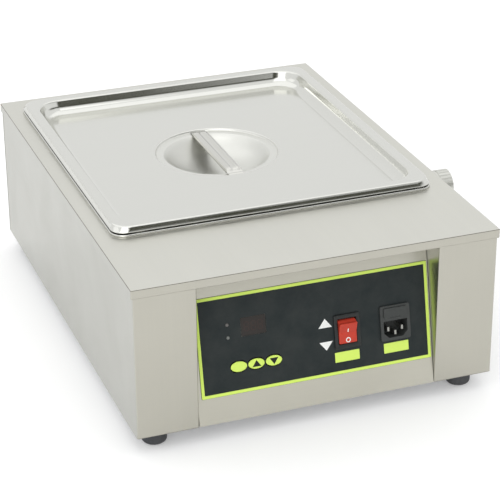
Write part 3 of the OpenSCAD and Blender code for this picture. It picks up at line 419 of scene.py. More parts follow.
def use_group(tree, group, vector, **amounts):
    """The outputs of a placed node group with its own amounts."""
    return add(tree, "ShaderNodeGroup", {"Vector": vector, **amounts}, node_tree=group).outputs


def tint(tree, factor, dark, light):
    """A colour between two tints."""
    inputs = {"Factor": factor, "A": (*dark, 1), "B": (*light, 1)}
    return add(tree, "ShaderNodeMix", inputs, data_type="RGBA").outputs["Result"]


def bump(tree, height, strength, distance):
    """A Bump node's result, for the shader's Normal."""
    inputs = {"Height": height, "Strength": strength, "Distance": distance}
    return add(tree, "ShaderNodeBump", inputs).outputs["Normal"]


def new_material(name):
    """A material with its node tree and its shader."""
    material = bpy.data.materials.new(name)
    material.use_nodes = True
    shader = material.node_tree.nodes["Principled BSDF"]
    return material, material.node_tree, shader


DARK_GRAIN, LIGHT_GRAIN = 0.93, 1.06
GLOSS_SWING = 0.035
MARK_SHARE = 0.4
SCRATCH_DEPTH = 0.05 * MM


def metal(name, color, roughness, grain="Y", fine=0.25, broad=0.35, clouds=0.05, depth=0.1):
    """A brushed or ground metal: grain in the colour, the gloss and the bump."""
    material, tree, shader = new_material(name)
    lines = use_group(tree, GRAIN, object_vector(tree, GRAIN_STRETCH[grain]), Fine=fine, Broad=broad)
    hands = use_group(tree, HANDLING, object_vector(tree))
    dark = tuple(DARK_GRAIN * c for c in color)
    light = tuple(min(1.0, LIGHT_GRAIN * c) for c in color)
    base = spread(tree, lines["Streak"], roughness - GLOSS_SWING, roughness + GLOSS_SWING)
    cloudy = spread(tree, hands["Clouds"], -clouds, clouds)
    marked = math_node(tree, "MULTIPLY", hands["Marks"], MARK_SHARE * clouds)
    rough = math_node(tree, "ADD", base, cloudy, marked)
    feed(shader, {"Base Color": tint(tree, lines["Streak"], dark, light), "Metallic": 1.0,
                  "Roughness": rough, "Normal": bump(tree, lines["Height"], depth, SCRATCH_DEPTH)})
    return material


deck_steel = metal("deck steel", (0.635, 0.63, 0.58), 0.34, grain="Y", fine=0.0, depth=0.0)
# Painted shade: a dark tint for the deck's bend, standing in for the shade along the fold.
painted_fold_shade = metal("painted fold shade", (0.24, 0.23, 0.2), 0.42, grain="X", fine=0.1, depth=0.03)
# The wall and post steels also paint the shade on the deck's upright flanges.
wall_steel_and_flange_shade = metal("wall steel", (0.485, 0.485, 0.45), 0.34, grain="Y")
post_steel_and_flange_shade = metal("post steel", (0.485, 0.472, 0.415), 0.36, grain="Z")
panel_steel = metal("panel steel", (0.555, 0.54, 0.47), 0.36, grain="X")
POLISHED = {"grain": "X", "fine": 0.03, "broad": 0.2, "clouds": 0.03, "depth": 0.015}
lid_steel = metal("lid steel", (0.69, 0.69, 0.655), 0.15, **POLISHED)
dish_steel = metal("dish steel", (0.69, 0.69, 0.655), 0.37, **POLISHED)
handle_steel = metal("handle steel", (0.64, 0.635, 0.6), 0.2, grain="Y", fine=0.2, clouds=0.03)
pan_steel = metal("pan steel", (0.66, 0.66, 0.63), 0.24, grain="Z", fine=0.05, clouds=0.04, depth=0.03)
tank_steel = metal("tank steel", (0.55, 0.55, 0.53), 0.38, grain="Z", clouds=0.08)
base_steel = metal("galvanised base", (0.42, 0.43, 0.44), 0.46, grain="X", clouds=0.12)
outlet_steel = metal("turned steel", (0.62, 0.62, 0.58), 0.42, grain="Z", fine=0.3, clouds=0.04)
screw_steel = metal("zinc screws", (0.55, 0.55, 0.53), 0.32, grain="X", clouds=0.08)
heater_steel = metal("heater sheath", (0.2, 0.17, 0.15), 0.5, grain="Y", clouds=0.15)
brass = metal("turned brass", (0.72, 0.5, 0.2), 0.3, grain="Z", clouds=0.06)
tinned = metal("tinned blades", (0.4, 0.4, 0.37), 0.36, grain="Y", clouds=0.05)
print("metals:", len([m for m in bpy.data.materials if m.use_nodes]))

# %% [markdown]
# ## Plastics, film and rubber
# The film is a matt printed polyester, the rocker a glossy moulding and the feet a dull rubber
# with dust on it. All three come from one function with different gloss, texture and dust.

# %% Plastics
DUST_COLOR = (0.5, 0.48, 0.44)
PEBBLE_DEPTH = 0.06 * MM


def plastic(name, color, roughness, texture=0.15, scale=1500.0, dust=0.02, shine=0.5):
    """A moulded or printed surface with its fine texture and a little dust."""
    material, tree, shader = new_material(name)
    mould = use_group(tree, MOULD, object_vector(tree), Scale=scale)
    dusty = spread(tree, mould["Dust"], 0.0, dust)
    rough = spread(tree, mould["Dust"], roughness - 0.04, roughness + 0.06)
    feed(shader, {"Base Color": tint(tree, dusty, color, DUST_COLOR), "Roughness": rough,
                  "Normal": bump(tree, mould["Height"], texture, PEBBLE_DEPTH),
                  "Specular IOR Level": shine})
    return material


overlay_film = plastic("slate film", (0.011, 0.017, 0.018), 0.5, texture=0.1, scale=2500.0,
                       dust=0.03, shine=0.25)
lime_ink = plastic("lime ink", (0.66, 0.86, 0.15), 0.42, texture=0.08, scale=2500.0, shine=0.3)
white_ink = plastic("white ink", (0.84, 0.85, 0.83), 0.42, texture=0.05)
# Dark ink prints the key arrows, and also paints the shade behind the film on the keys.
dark_ink_and_shade = plastic("dark ink and painted shade", (0.01, 0.012, 0.01), 0.5, texture=0.05, shine=0.2)
window_film = plastic("display window", (0.024, 0.02, 0.018), 0.3, texture=0.02, shine=0.25)
digit_unlit = plastic("unlit digits", (0.042, 0.024, 0.021), 0.3, texture=0.02, shine=0.25)
display_black = plastic("display block", (0.015, 0.012, 0.012), 0.3)
lamp_heat = plastic("heat lamp", (0.12, 0.115, 0.11), 0.3, texture=0.03)
lamp_clear = plastic("clear lamp", (0.15, 0.16, 0.15), 0.3, texture=0.03)
black_plastic = plastic("black plastic", (0.014, 0.016, 0.016), 0.42, texture=0.25, dust=0.02, shine=0.35)
red_plastic = plastic("red plastic", (0.52, 0.043, 0.022), 0.3, texture=0.06, shine=0.3)
inlet_black = plastic("inlet moulding", (0.027, 0.031, 0.03), 0.45, texture=0.25, dust=0.03)
grey_plastic = plastic("grey plastic", (0.08, 0.08, 0.085), 0.45)
rubber = plastic("foot rubber", (0.03, 0.034, 0.04), 0.62, texture=0.4, scale=1100.0, dust=0.12)
seal_rubber = plastic("seal rubber", (0.02, 0.02, 0.02), 0.6, texture=0.3)
board_green = plastic("circuit board", (0.012, 0.13, 0.05), 0.35, texture=0.3, scale=900.0)
relay_blue = plastic("relay case", (0.03, 0.1, 0.42), 0.3)
iron_core = plastic("varnished core", (0.07, 0.055, 0.045), 0.5, texture=0.5, scale=600.0)
terminal_green = plastic("terminal block", (0.03, 0.27, 0.1), 0.4)
ceramic = plastic("ceramic", (0.7, 0.66, 0.56), 0.4, texture=0.2)
wire_brown = plastic("brown wire", (0.16, 0.07, 0.03), 0.5)
wire_white = plastic("white wire", (0.72, 0.72, 0.69), 0.6, texture=0.5, scale=2200.0)
wire_black = plastic("black wire", (0.02, 0.02, 0.02), 0.5)
wire_green = plastic("earth wire", (0.25, 0.42, 0.05), 0.5)
print("plastics ready")

# %% [markdown]
# ## Glass and wool
# The fuse is a glass tube: a plain transmission weight on the shader, with a little dirt in the
# roughness. The mineral wool is a pale felt: two noises at different scales give its fibres.

# %% Glass and wool


def build_glass():
    """Glass of the fuse."""
    material, tree, shader = new_material("fuse glass")
    dirt = noise(tree, object_vector(tree), 300.0, 4.0)
    feed(shader, {"Base Color": tint(tree, dirt, (0.8, 0.84, 0.83), (0.9, 0.93, 0.92)),
                  "Roughness": spread(tree, dirt, 0.04, 0.16), "Transmission Weight": 0.6})
    return material


def build_wool():
    """Felt of pale fibres."""
    material, tree, shader = new_material("mineral wool")
    fibres = noise(tree, object_vector(tree, (1.0, 0.15, 1.0)), 500.0, 6.0, 0.7)
    tufts = noise(tree, object_vector(tree), 60.0, 5.0, 0.6)
    both = math_node(tree, "ADD", fibres, tufts)
    feed(shader, {"Base Color": tint(tree, tufts, (0.5, 0.43, 0.27), (0.74, 0.68, 0.5)),
                  "Roughness": spread(tree, fibres, 0.85, 1.0),
                  "Normal": bump(tree, both, 0.8, 0.6 * MM)})
    return material


fuse_glass, wool = build_glass(), build_wool()
print("glass and wool ready")

# %% [markdown]
# ## Dressing the solids
# Most solids from the frame already have the right shape, so they only get their finish. The
# table below pairs each finish with the nodes that wear it.

# %% Finishes of the frame's solids
WEARS = {
    deck_steel: ("deck_cover",),
    wall_steel_and_flange_shade: ("left_wall", "right_wall", "back_panel"),
    post_steel_and_flange_shade: ("left_post", "right_post"),
    panel_steel: ("control_panel",),
    base_steel: ("base_plate",),
    overlay_film: ("panel_overlay",),
    window_film: ("display_window",),
    display_black: ("display_module",),
    lamp_heat: ("heat_lamp",),
    lamp_clear: ("alarm_lamp",),
    lime_ink: ("set_key", "up_key", "down_key"),
    grey_plastic: ("key_switches",),
    board_green: ("control_board",),
    brass: ("board_posts", "heater_nuts", "probe_nut", "earth_stud"),
    screw_steel: ("board_screws", "foot_screws", "foot_nuts", "back_screws", "base_screws"),
    relay_blue: ("relay",),
    iron_core: ("transformer",),
    terminal_green: ("terminal_block",),
    black_plastic: ("switch_housing",),
    inlet_black: ("inlet_housing", "fuse_drawer"),
    red_plastic: ("rocker",),
    tinned: ("switch_tabs", "inlet_pins"),
    fuse_glass: ("fuse",),
    tank_steel: ("water_tank", "heater_clips", "temperature_probe"),
    wool: ("insulation",),
    heater_steel: ("heating_element",),
    ceramic: ("thermal_cutout",),
    outlet_steel: ("overflow_pipe", "overflow_cap"),
    rubber: ("rubber_feet",),
    seal_rubber: ("cap_gasket",),
    wire_brown: ("mains_leads",),
    wire_white: ("heater_leads",),
    wire_black: ("probe_lead",),
    wire_green: ("earth_lead",),
    pan_steel: ("pan",),
    lid_steel: ("lid",),
    handle_steel: ("lid_handle",),
}


def dress(obj, material):
    """Puts one material in every slot of an object, or in a new slot."""
    if not obj.material_slots:
        obj.data.materials.append(material)
    for slot in obj.material_slots:
        slot.material = material


def refinish(obj, material, belongs):
    """Gives one more material to those faces of an object that belong to it."""
    obj.data.materials.append(material)
    for face in obj.data.polygons:
        if belongs(face):
            face.material_index = len(obj.data.materials) - 1


for material, names in WEARS.items():
    for name in names:
        dress(NODES[name], material)
print("dressed", sum(len(names) for names in WEARS.values()), "of", len(NODES))

# %% [markdown]
# ## The deck
# The deck is one sheet: flat on top, bent down all round by a small radius, and cut out for the
# well. The solid has a knife-sharp edge there. A skin over rounded rectangles that step through
# the bend, thickened inwards, gives the thin line of a folded edge. The bend's faces are painted
# dark, as painted shade along the fold. The flange wears the steel of the side below, with its
# grain, and the darker tint it gets there is painted shade of the deck's upright edge.

# %% Deck
OPENING_R = 33.4 * MM
CORNER_R = 1.2 * MM
DECK_BEND = 0.6 * MM
OPENING_LIP = 8 * MM
UPRIGHT_Z, LEVEL_Z = 0.1, 0.98
opening_size = [width - 2 * OPENING_LIP for width in (tank_high - tank_low).xy]


def deck_skin():
    """Rounded rectangles from the opening's edge, over the flat deck, down to the flange's edge."""
    loops = []
    for inset, drop in ((0.0, 0.6 * MM), (-0.2 * MM, 0.18 * MM), (-0.7 * MM, 0.0), (-1.2 * MM, 0.0)):
        loops.append(inset_loop(opening_size, inset, OPENING_R - inset, deck_z - drop, (0, pan_y)))
    outer = [(DECK_BEND + 0.5 * MM, deck_z), (DECK_BEND, deck_z)]
    outer += [(inset, deck_z - drop)
              for drop, inset in arc(0.0, DECK_BEND, DECK_BEND, 0.0, bulge_first_down=False)]
    outer += [(0.0, deck_low.z + 0.4 * MM), (0.0, deck_low.z)]
    return loops + [inset_loop((deck_w, deck_d), inset, CORNER_R, z) for inset, z in outer]


def at_end(face):
    """Whether a face lies at the deck's front or back edge."""
    return abs(face.center.y) > deck_d / 2 - DECK_BEND


def at_side(face):
    """Whether a face lies at the deck's left or right edge."""
    return abs(face.center.x) > deck_w / 2 - DECK_BEND


deck = loft("deck_sheet", deck_skin())
face_outwards(deck)
thicken(deck, SHEET)
dress(deck, deck_steel)
# Painted shade: the front and back flanges take the darker post steel for the shade of the upright edge;
# its upright grain is real.
refinish(deck, post_steel_and_flange_shade, lambda f: at_end(f) and f.normal.z <= UPRIGHT_Z)
# The bend's faces get the dark painted shade of the fold.
refinish(deck, painted_fold_shade, lambda f: (at_end(f) or at_side(f)) and UPRIGHT_Z < f.normal.z < LEVEL_Z)
# Painted shade: the side flanges take the darker wall steel for the shade of the upright edge.
refinish(deck, wall_steel_and_flange_shade, lambda f: at_side(f) and not at_end(f) and f.normal.z <= UPRIGHT_Z)
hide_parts("deck_cover")
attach(deck, "housing")
count_faces(deck)

# %% [markdown]
# ## Walls and posts
# On the real box each side wall turns the front corner, becomes the post's face and turns again
# beside the panel: one folded sheet. Seen from above it is a path with three bends, so the skin
# is that path, swept straight up. The bends are short arcs, the rest is flat.

# %% Folded walls
POST_W = post_high.x - post_low.x + SHEET
POST_RETURN = post_high.y - post_low.y
REAR_FLANGE = 13 * MM
BEND_STEPS = 5
wall_x = wall_high.x
rear_y = wall_high.y


def bent_path(corners, radius):
    """A plan path whose inner corners are rounded."""
    points = [Vector(corners[0])]
    for before, corner, after in zip(corners, corners[1:], corners[2:]):
        corner = Vector(corner)
        back = (Vector(before) - corner).normalized()
        ahead = (Vector(after) - corner).normalized()
        middle = corner + radius * (back + ahead)
        start, stop = corner + radius * back, corner + radius * ahead
        for k in range(BEND_STEPS + 1):
            way = (start - middle).slerp(stop - middle, k / BEND_STEPS, (start - middle))
            points.append(middle + way.normalized() * radius)
    points.append(Vector(corners[-1]))
    return points


def folded_wall(name, corners, low, high, side):
    """A sheet that follows a plan path, mirrored to the left where side is -1."""
    plan = bent_path(corners, BEND)
    levels = (low, low + SHEET, high - SHEET, high)
    points = [(side * p.x, p.y, z) for z in levels for p in plan]
    faces = grid_faces(len(levels), len(plan))
    wall = mesh_object(name, points, [f if side > 0 else f[::-1] for f in faces])
    thicken(wall, SHEET)
    return wall


def in_post(face):
    """Whether a wall's face lies in front, past the bend, where the grain runs upwards."""
    return abs(face.center.x) < wall_x - BEND / 2 and face.center.y < front_y + POST_RETURN / 2


side_path = [(wall_x - POST_W, front_y + POST_RETURN), (wall_x - POST_W, front_y), (wall_x, front_y),
             (wall_x, rear_y), (wall_x - REAR_FLANGE, rear_y)]
for side, names in ((1, ("right_wall", "right_post")), (-1, ("left_wall", "left_post"))):
    wall = folded_wall(names[0] + "_sheet", side_path, body_z, wall_high.z, side)
    dress(wall, wall_steel_and_flange_shade)
    refinish(wall, post_steel_and_flange_shade, in_post)
    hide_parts(*names)
    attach(wall, "housing")
    count_faces(wall)

# %% [markdown]
# ## The pan
# A deep-drawn pan is all soft curves: a flat flange with a turned-down edge, a rounded lip, walls
# that lean in, corners of a large radius and a rolled foot. Its rounded rectangles shrink on the
# way down and their corners grow tighter only at the foot.

# %% Pan
PAN_T = 0.9 * MM
MOUTH = mm(300, 329)
PAN_CORNER, DRAFT, FOOT = mm(30, 8, 14)
FLANGE_CORNER = 14 * MM
pan_size = (pan_high - pan_low).xy


def pan_skin():
    """Rounded rectangles from the flange's edge, over the lip and down the wall to the floor."""
    lip, mouth_roll, floor_z = 1.0 * MM, 2.5 * MM, pan_low.z + PAN_T
    flange = [(0.0, deck_z), (0.0, pan_high.z - lip)]
    flange += [(inset, z)
               for z, inset in arc(pan_high.z - lip, 0.0, pan_high.z, lip, bulge_first_down=True)]
    rows = [(pan_size, inset, FLANGE_CORNER - inset, z) for inset, z in flange]
    mouth = [(-mouth_roll, pan_high.z)]
    mouth += [(inset - mouth_roll, z) for z, inset in
              arc(pan_high.z, 0.0, pan_high.z - mouth_roll, mouth_roll, bulge_first_down=False)]
    rows += [(MOUTH, inset, PAN_CORNER - inset, z) for inset, z in mouth]
    for a in angles(6, first=0):
        roll = FOOT * (1 - math.cos(a))
        corner = PAN_CORNER - DRAFT / 2 - roll / 2
        rows.append((MOUTH, DRAFT + roll, corner, floor_z + FOOT * (1 - math.sin(a))))
    rows.append((MOUTH, DRAFT + FOOT + 20 * MM, PAN_CORNER / 2, floor_z))
    return [inset_loop(*row, (0, pan_y)) for row in rows]


pan = loft("gastro_pan", pan_skin(), close_end=True)
face_outwards(pan)
# An open bowl can come out inside out, so the outermost face is looked at.
edge_face = pan.data.polygons[0]
if edge_face.normal.x * edge_face.center.x < 0:
    face_outwards(pan, inside_out=True)
thicken(pan, PAN_T)
dress(pan, pan_steel)
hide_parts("pan")
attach(pan, "pan")
count_faces(pan)

# %% [markdown]
# ## The lid
# The lid is where the eye goes. From outside to inside: a short wall, a rolled edge, a flat rim,
# a slope down to a tray, and in the tray a round dish with a ledge for the handle. Every change
# of direction is a radius, because pressed sheet has no sharp inner corner. The stack of loops
# goes from rounded rectangles to circles in the flat tray, where the change can't be seen. Its
# corners are the nearest to the eye, so from here on every corner has a few more points.

# %% Lid
LID_T = 0.9 * MM
RIM_W, SLOPE_W, DROP = mm(11, 13.6, 14)
EDGE_R, LIP_R, FOOT_R = mm(1.7, 2.0, 11.0)
WALL_LEAN = 1.7 * MM
DISH_R, LEDGE_R = mm(63.5, 54)
LEDGE_DROP, DISH_DROP = mm(2.4, 20)
BOWL_STEPS, BOWL_CENTRE = 16, 0.15
WALL_CORNER, RIM_CORNER, TRAY_CORNER = mm(13.3, 26, 21)
lid_size = (lid_high - lid_low).xy
rim_z = lid_high.z
hem_z = pan_high.z + 1.3 * MM
tray_z = rim_z - DROP
STEEP = math.radians(74)


def slope_profile():
    """Insets and heights from the rim: a tight lip, a steep drop and a wide soft foot."""
    rows = []
    for a in angles(6, STEEP, first=0):
        rows.append((RIM_W + LIP_R * math.sin(a), rim_z - LIP_R * (1 - math.cos(a))))
    for a in reversed(angles(12, STEEP, first=0)):
        rows.append((RIM_W + SLOPE_W - FOOT_R * math.sin(a), tray_z + FOOT_R * (1 - math.cos(a))))
    return rows


def lid_corner(inset):
    """Corner radius of the lid's loops: small at the wall, largest where the slope starts."""
    if inset <= RIM_W:
        return WALL_CORNER + (RIM_CORNER - WALL_CORNER) * inset / RIM_W
    return RIM_CORNER + (TRAY_CORNER - RIM_CORNER) * min(1.0, (inset - RIM_W) / SLOPE_W)


def dish_profile():
    """Radii and heights from the tray over the ledge and down the bowl."""
    rows = [(DISH_R + 3 * MM, tray_z), (DISH_R + 0.8 * MM, tray_z)]
    for a in angles(5):
        rows.append((DISH_R + 0.8 * MM - 1.6 * MM * math.sin(a), tray_z - 1.2 * MM * (1 - math.cos(a))))
    ledge_z = tray_z - LEDGE_DROP
    rows += [(DISH_R - 1.2 * MM, ledge_z + 0.4 * MM), (DISH_R - 2.0 * MM, ledge_z),
             (LEDGE_R + 1.5 * MM, ledge_z)]
    bowl_z = ledge_z - 0.3 * MM
    bowl_drop = DISH_DROP - LEDGE_DROP - 0.3 * MM
    for k in range(BOWL_STEPS + 1):
        share = 1 - (1 - BOWL_CENTRE) * k / BOWL_STEPS
        rows.append((LEDGE_R * share, bowl_z - bowl_drop * (1 - share ** 4)))
    return rows


def lid_skin():
    """The lid from its hem over the rim, down the slope and into the dish."""
    wall = [(0.35 * MM, hem_z), (0.0, hem_z + 0.3 * MM), (0.0, hem_z + 0.7 * MM),
            (0.5 * MM, hem_z + 1.1 * MM), (WALL_LEAN, rim_z - EDGE_R)]
    edge = arc(rim_z - EDGE_R, WALL_LEAN, rim_z, WALL_LEAN + EDGE_R, bulge_first_down=True, steps=6)
    wall += [(inset, z) for z, inset in edge]
    wall += [(WALL_LEAN + EDGE_R + 0.5 * MM, rim_z), (RIM_W - 0.5 * MM, rim_z)]
    tray = (RIM_W + SLOPE_W + 4 * MM, tray_z)
    loops = [inset_loop(lid_size, inset, lid_corner(inset), z, (0, pan_y))
             for inset, z in wall + slope_profile() + [tray]]
    return loops + [circle_loop(radius, z, (0, pan_y)) for radius, z in dish_profile()]


CORNER_STEPS = 14
lid = loft("pressed_lid", lid_skin(), close_end=True)
face_outwards(lid)
thicken(lid, LID_T)
dress(lid, lid_steel)
refinish(lid, dish_steel, lambda f: (f.center.xy - Vector((0, pan_y))).length < DISH_R)
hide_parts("lid")
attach(lid, "lid")
count_faces(lid)

# %% [markdown]
# ## The strap handle
# A strip of the same steel, bent down at both ends and welded to the ledge, with its long edges
# folded down for stiffness and two beads pressed along it. It is a grid: rows along the strap set
# how high it runs and how far its edges are folded, and columns across it give the cross section.

# %% Handle
strap_low, strap_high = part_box("lid_handle")
STRAP_W = strap_high.x - strap_low.x
STRAP_T = 1.2 * MM
STRAP_SIDE = 4.5 * MM
BEAD_H = 0.55 * MM
TAB, TAB_FOLD = 7 * MM, 0.02
half_strap = (strap_high.y - strap_low.y) / 2
strap_top = strap_high.z - BEAD_H
tab_top = tray_z - LEDGE_DROP + STRAP_T


def cross_section(fold):
    """Points across the strap: folded edge, top with two beads, folded edge."""
    half, bend = STRAP_W / 2, 1.4 * MM
    drop = fold * STRAP_SIDE
    left = [(-half, -drop), (-half, -drop * 0.5 - bend * 0.5 * fold)]
    for a in angles(4, first=0):
        left.append((-half + bend * (1 - math.cos(a)), -bend * (1 - math.sin(a)) * fold))
    for a in angles(8, HALF, first=0):
        left.append((-STRAP_W / 4 - 1.5 * MM * math.cos(a), BEAD_H * math.sin(a) * fold))
    left.append((-0.5 * MM, 0.0))
    return left + [(-x, z) for x, z in reversed(left)]


def strap_rows():
    """Places along the strap: y, height of its top and how far its edges are folded."""
    inner = half_strap - TAB
    rows = [(-half_strap, tab_top, TAB_FOLD), (-half_strap + TAB * 0.6, tab_top, TAB_FOLD)]
    for k in range(9):
        s = k / 8
        eased = s * s * (3 - 2 * s)
        fold = TAB_FOLD + (1 - TAB_FOLD) * s ** 1.5
        rows.append((-inner - 1.5 * MM + 5 * MM * s, tab_top + (strap_top - tab_top) * eased, fold))
    for k in range(1, 8):
        rows.append(((-inner + 3.5 * MM) * (1 - k / 8), strap_top, 1.0))
    return rows + [(0.0, strap_top, 1.0)] + [(-y, z, fold) for y, z, fold in reversed(rows)]


def strap_mesh():
    """The strap as a grid of rows along it and columns across it."""
    rows = strap_rows()
    points, width = [], len(cross_section(1.0))
    for y, z, fold in rows:
        points += [(x, pan_y + y, z + dz) for x, dz in cross_section(fold)]
    return mesh_object("strap_handle", points, grid_faces(len(rows), width))


strap = strap_mesh()
thicken(strap, STRAP_T, even_shade=False)
dress(strap, handle_steel)
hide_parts("lid_handle")
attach(strap, "lid")
count_faces(strap)

# %% [markdown]
# ## Feet, by geometry nodes
# Four feet are one foot at four places. The tree takes the places as a point cloud, puts a copy
# of the turned foot on each, and makes the copies real, because instances don't survive export.
# The foot's outline is turned once into a solid: a moulded rim, a rolled edge, a screw pocket.

# %% Feet
TURN_STEPS = 40


def lathe(name, outline):
    """A turned solid from radii and heights, closed on its axis."""
    loops = [[(*on_circle(radius, a), z) for a in full_turn(TURN_STEPS)] for radius, z in outline]
    return loft(name, loops, close_start=True, close_end=True)


def copy_tree(name):
    """Geometry nodes: a copy of a source object on every point, made real, with a finish."""
    tree = bpy.data.node_groups.new(name, "GeometryNodeTree")
    for label, kind in (("Geometry", "Geometry"), ("Source", "Object"), ("Scale", "Float"),
                        ("Finish", "Material")):
        tree.interface.new_socket(label, in_out="INPUT", socket_type="NodeSocket" + kind)
    tree.interface.new_socket("Geometry", in_out="OUTPUT", socket_type="NodeSocketGeometry")
    start, end = add(tree, "NodeGroupInput").outputs, add(tree, "NodeGroupOutput")
    source = add(tree, "GeometryNodeObjectInfo", {"Object": start["Source"]})
    points = add(tree, "GeometryNodeMeshToPoints", {"Mesh": start["Geometry"]})
    turn_by = add(tree, "GeometryNodeInputNamedAttribute", {"Name": "turn"}, data_type="FLOAT_VECTOR")
    placed = add(tree, "GeometryNodeInstanceOnPoints",
                 {"Points": points.outputs["Points"], "Instance": source.outputs["Geometry"],
                  "Rotation": turn_by.outputs["Attribute"], "Scale": start["Scale"]})
    real = add(tree, "GeometryNodeRealizeInstances", {"Geometry": placed.outputs["Instances"]})
    finish = add(tree, "GeometryNodeSetMaterial",
                 {"Geometry": real.outputs["Geometry"], "Material": start["Finish"]})
    feed(end, {"Geometry": finish.outputs["Geometry"]})
    return tree


COPY_TREE = copy_tree("copies_on_points")


def copies(name, source, places, turns, finish):
    """A plain mesh of copies of source at the places, each turned by its own angles."""
    cloud = mesh_object(name + "_places", places, [], smooth=False)
    attribute = cloud.data.attributes.new("turn", "FLOAT_VECTOR", "POINT")
    for k, turn_by in enumerate(turns):
        attribute.data[k].vector = turn_by
    modifier = cloud.modifiers.new("copies", "NODES")
    modifier.node_group = COPY_TREE
    values = {"Source": source, "Scale": 1.0, "Finish": finish}
    for item in COPY_TREE.interface.items_tree:
        if item.in_out == "INPUT" and item.name in values:
            modifier[item.identifier] = values[item.name]
    bpy.context.view_layer.update()
    depsgraph = bpy.context.evaluated_depsgraph_get()
    made = new_object(name, bpy.data.meshes.new_from_object(cloud.evaluated_get(depsgraph)))
    bpy.data.objects.remove(cloud)
    bpy.data.objects.remove(source)
    made.data.materials.clear()
    made.data.materials.append(finish)
    return made


FOOT_R_OUT, FOOT_H, FOOT_INSET = 12 * MM, body_z, 24.5 * MM
POCKET_R, POCKET_H = mm(4.9, 9)
SCREW_HOLE_R, FOOT_ROLL = mm(2.7, 4)
foot_outline = [(SCREW_HOLE_R, FOOT_H), (10.6 * MM, FOOT_H), (11.3 * MM, FOOT_H - 0.4 * MM),
                (11.5 * MM, FOOT_H - 1.0 * MM), (FOOT_R_OUT, 5.5 * MM), (FOOT_R_OUT, 4.2 * MM)]
foot_outline += [(FOOT_R_OUT - FOOT_ROLL * (1 - math.cos(a)), FOOT_ROLL * (1 - math.sin(a)))
                 for a in angles(6)]
foot_outline += [(POCKET_R + 0.3 * MM, 0.0), (POCKET_R, 0.3 * MM), (POCKET_R, POCKET_H - 0.3 * MM),
                 (SCREW_HOLE_R, POCKET_H)]
foot = lathe("foot_shape", foot_outline)
foot_places = [(sx * (deck_w / 2 - FOOT_INSET), sy * (deck_d / 2 - FOOT_INSET), 0.0)
               for sx in (-1, 1) for sy in (-1, 1)]
feet = copies("moulded_feet", foot, foot_places, [(0, 0, 0)] * 4, rubber)
feet.data.shade_smooth()
soften(feet, 0.2 * MM, segments=1, angle=50)
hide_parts("rubber_feet")
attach(feet, "housing")
count_faces(feet)

# %% [markdown]
# ## Printing on the film
# The printed border, the label plates and the two arrows are ink: as thin as can be, but with an
# edge of their own. Each is a flat outline in the panel's plane, raised by 0.08 millimetres.
# The plates and the band above them stay bare.

# %% Ink
INK = 0.08 * MM


def ink(name, outlines, material, depth=-FILM, lift=INK):
    """Flat printed shapes: a list of outlines, each a list of (side, up) points, with a low edge."""
    points, faces = [], []
    for outline in outlines:
        base = len(points)
        count = len(outline)
        points += [on_panel(side, up, depth) for side, up in outline]
        points += [on_panel(side, up, depth - lift) for side, up in outline]
        faces.append(tuple(range(base + count, base + 2 * count)))
        faces += side_faces(base, count)
    made = mesh_object(name, points, faces, smooth=False)
    face_outwards(made)
    dress(made, material)
    return made


def band(name, outer, inner, place, depths, material):
    """A closed band between two outlines: its top and its outer and inner edges."""
    points = [place(side, up, depth) for depth in depths for side, up in outer + inner]
    count, top = len(outer), 2 * len(outer)
    faces = side_faces(top, count) + side_faces(0, count, top) + side_faces(count, count, top + count)
    made = mesh_object(name, points, faces, smooth=False)
    face_outwards(made)
    dress(made, material)
    return made


def flat_outline(w, h, r, side, up):
    """A rounded rectangle as (side, up) points of the panel."""
    return [(side + p.x, up + p.y) for p in rounded_loop(w, h, r, 0)]


def border_outline(inset, r):
    """The overlay's outline, inset all round."""
    return flat_outline(OVERLAY_W - 2 * inset, OVERLAY_H - 2 * inset, r, OVERLAY_SIDE, OVERLAY_UP)


border = band("printed_border", border_outline(*mm(0.2, 1.0)), border_outline(*mm(3.1, 0.6)),
              on_panel, (-FILM, -FILM - INK), lime_ink)
plates = ink("label_plates", [flat_outline(*mm(24.6, 9.6, 0.5, 31.3, 42.0)),
                              flat_outline(*mm(25.1, 9.6, 0.5, 81.1, 42.1))], lime_ink)


def triangle(side, up, width, height):
    """An arrow head: upwards where the height is positive."""
    return [(side - width / 2, up), (side + width / 2, up), (side, up + height)]


arrows = ink("printed_arrows", [triangle(*mm(11.1, 72.8, 13.4, 8.6)),
                                triangle(*mm(11.1, 59.1, 13.4, -8.4))], white_ink)
for piece in (border, plates, arrows):
    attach(piece, "housing")
    count_faces(piece)

# %% [markdown]
# ## The three keys
# Each key is a soft oval cap that stands a millimetre out of the film. It is domed a little and
# has rounded shoulders, and two of the keys carry a printed arrow. A key and its arrow ride on
# the key's own body, so they sink in together. What lies behind the film is painted dark, as
# painted shade.

# %% Keys
KEY_W, KEY_H, KEY_PROUD, KEY_UP = mm(15.8, 9.7, 1.1, 51)
KEY_STEPS = 44
KEY_SIDES = {node: middle_side(node) for node in ("set_key", "up_key", "down_key")}


def key_cap(name, side):
    """An oval cap on the panel: flange, straight wall, rounded shoulder and a low dome."""
    rows = [(1.0 * MM, 2.2 * MM), (1.0 * MM, 1.3 * MM), (0.0, 1.3 * MM), (0.0, -FILM),
            (0.0, -FILM - 0.5 * MM)]
    for a in angles(5):
        rows.append((-0.9 * MM * (1 - math.cos(a)), -FILM - 0.5 * MM - 0.45 * MM * math.sin(a)))
    rows.append((-3.5 * MM, -FILM - KEY_PROUD + 0.05 * MM))
    rows.append((-7.0 * MM, -FILM - KEY_PROUD))
    loops = []
    for grow, back in rows:
        w, h = KEY_W + grow, KEY_H + grow + (2 * MM if grow > 0 else 0)
        loops.append([Vector((side + w / 2 * math.cos(a), KEY_UP + h / 2 * math.sin(a), back))
                      for a in full_turn(KEY_STEPS)])
    return loft(name, loops, close_start=True, close_end=True, place=lambda p: on_panel(p.x, p.y, p.z))


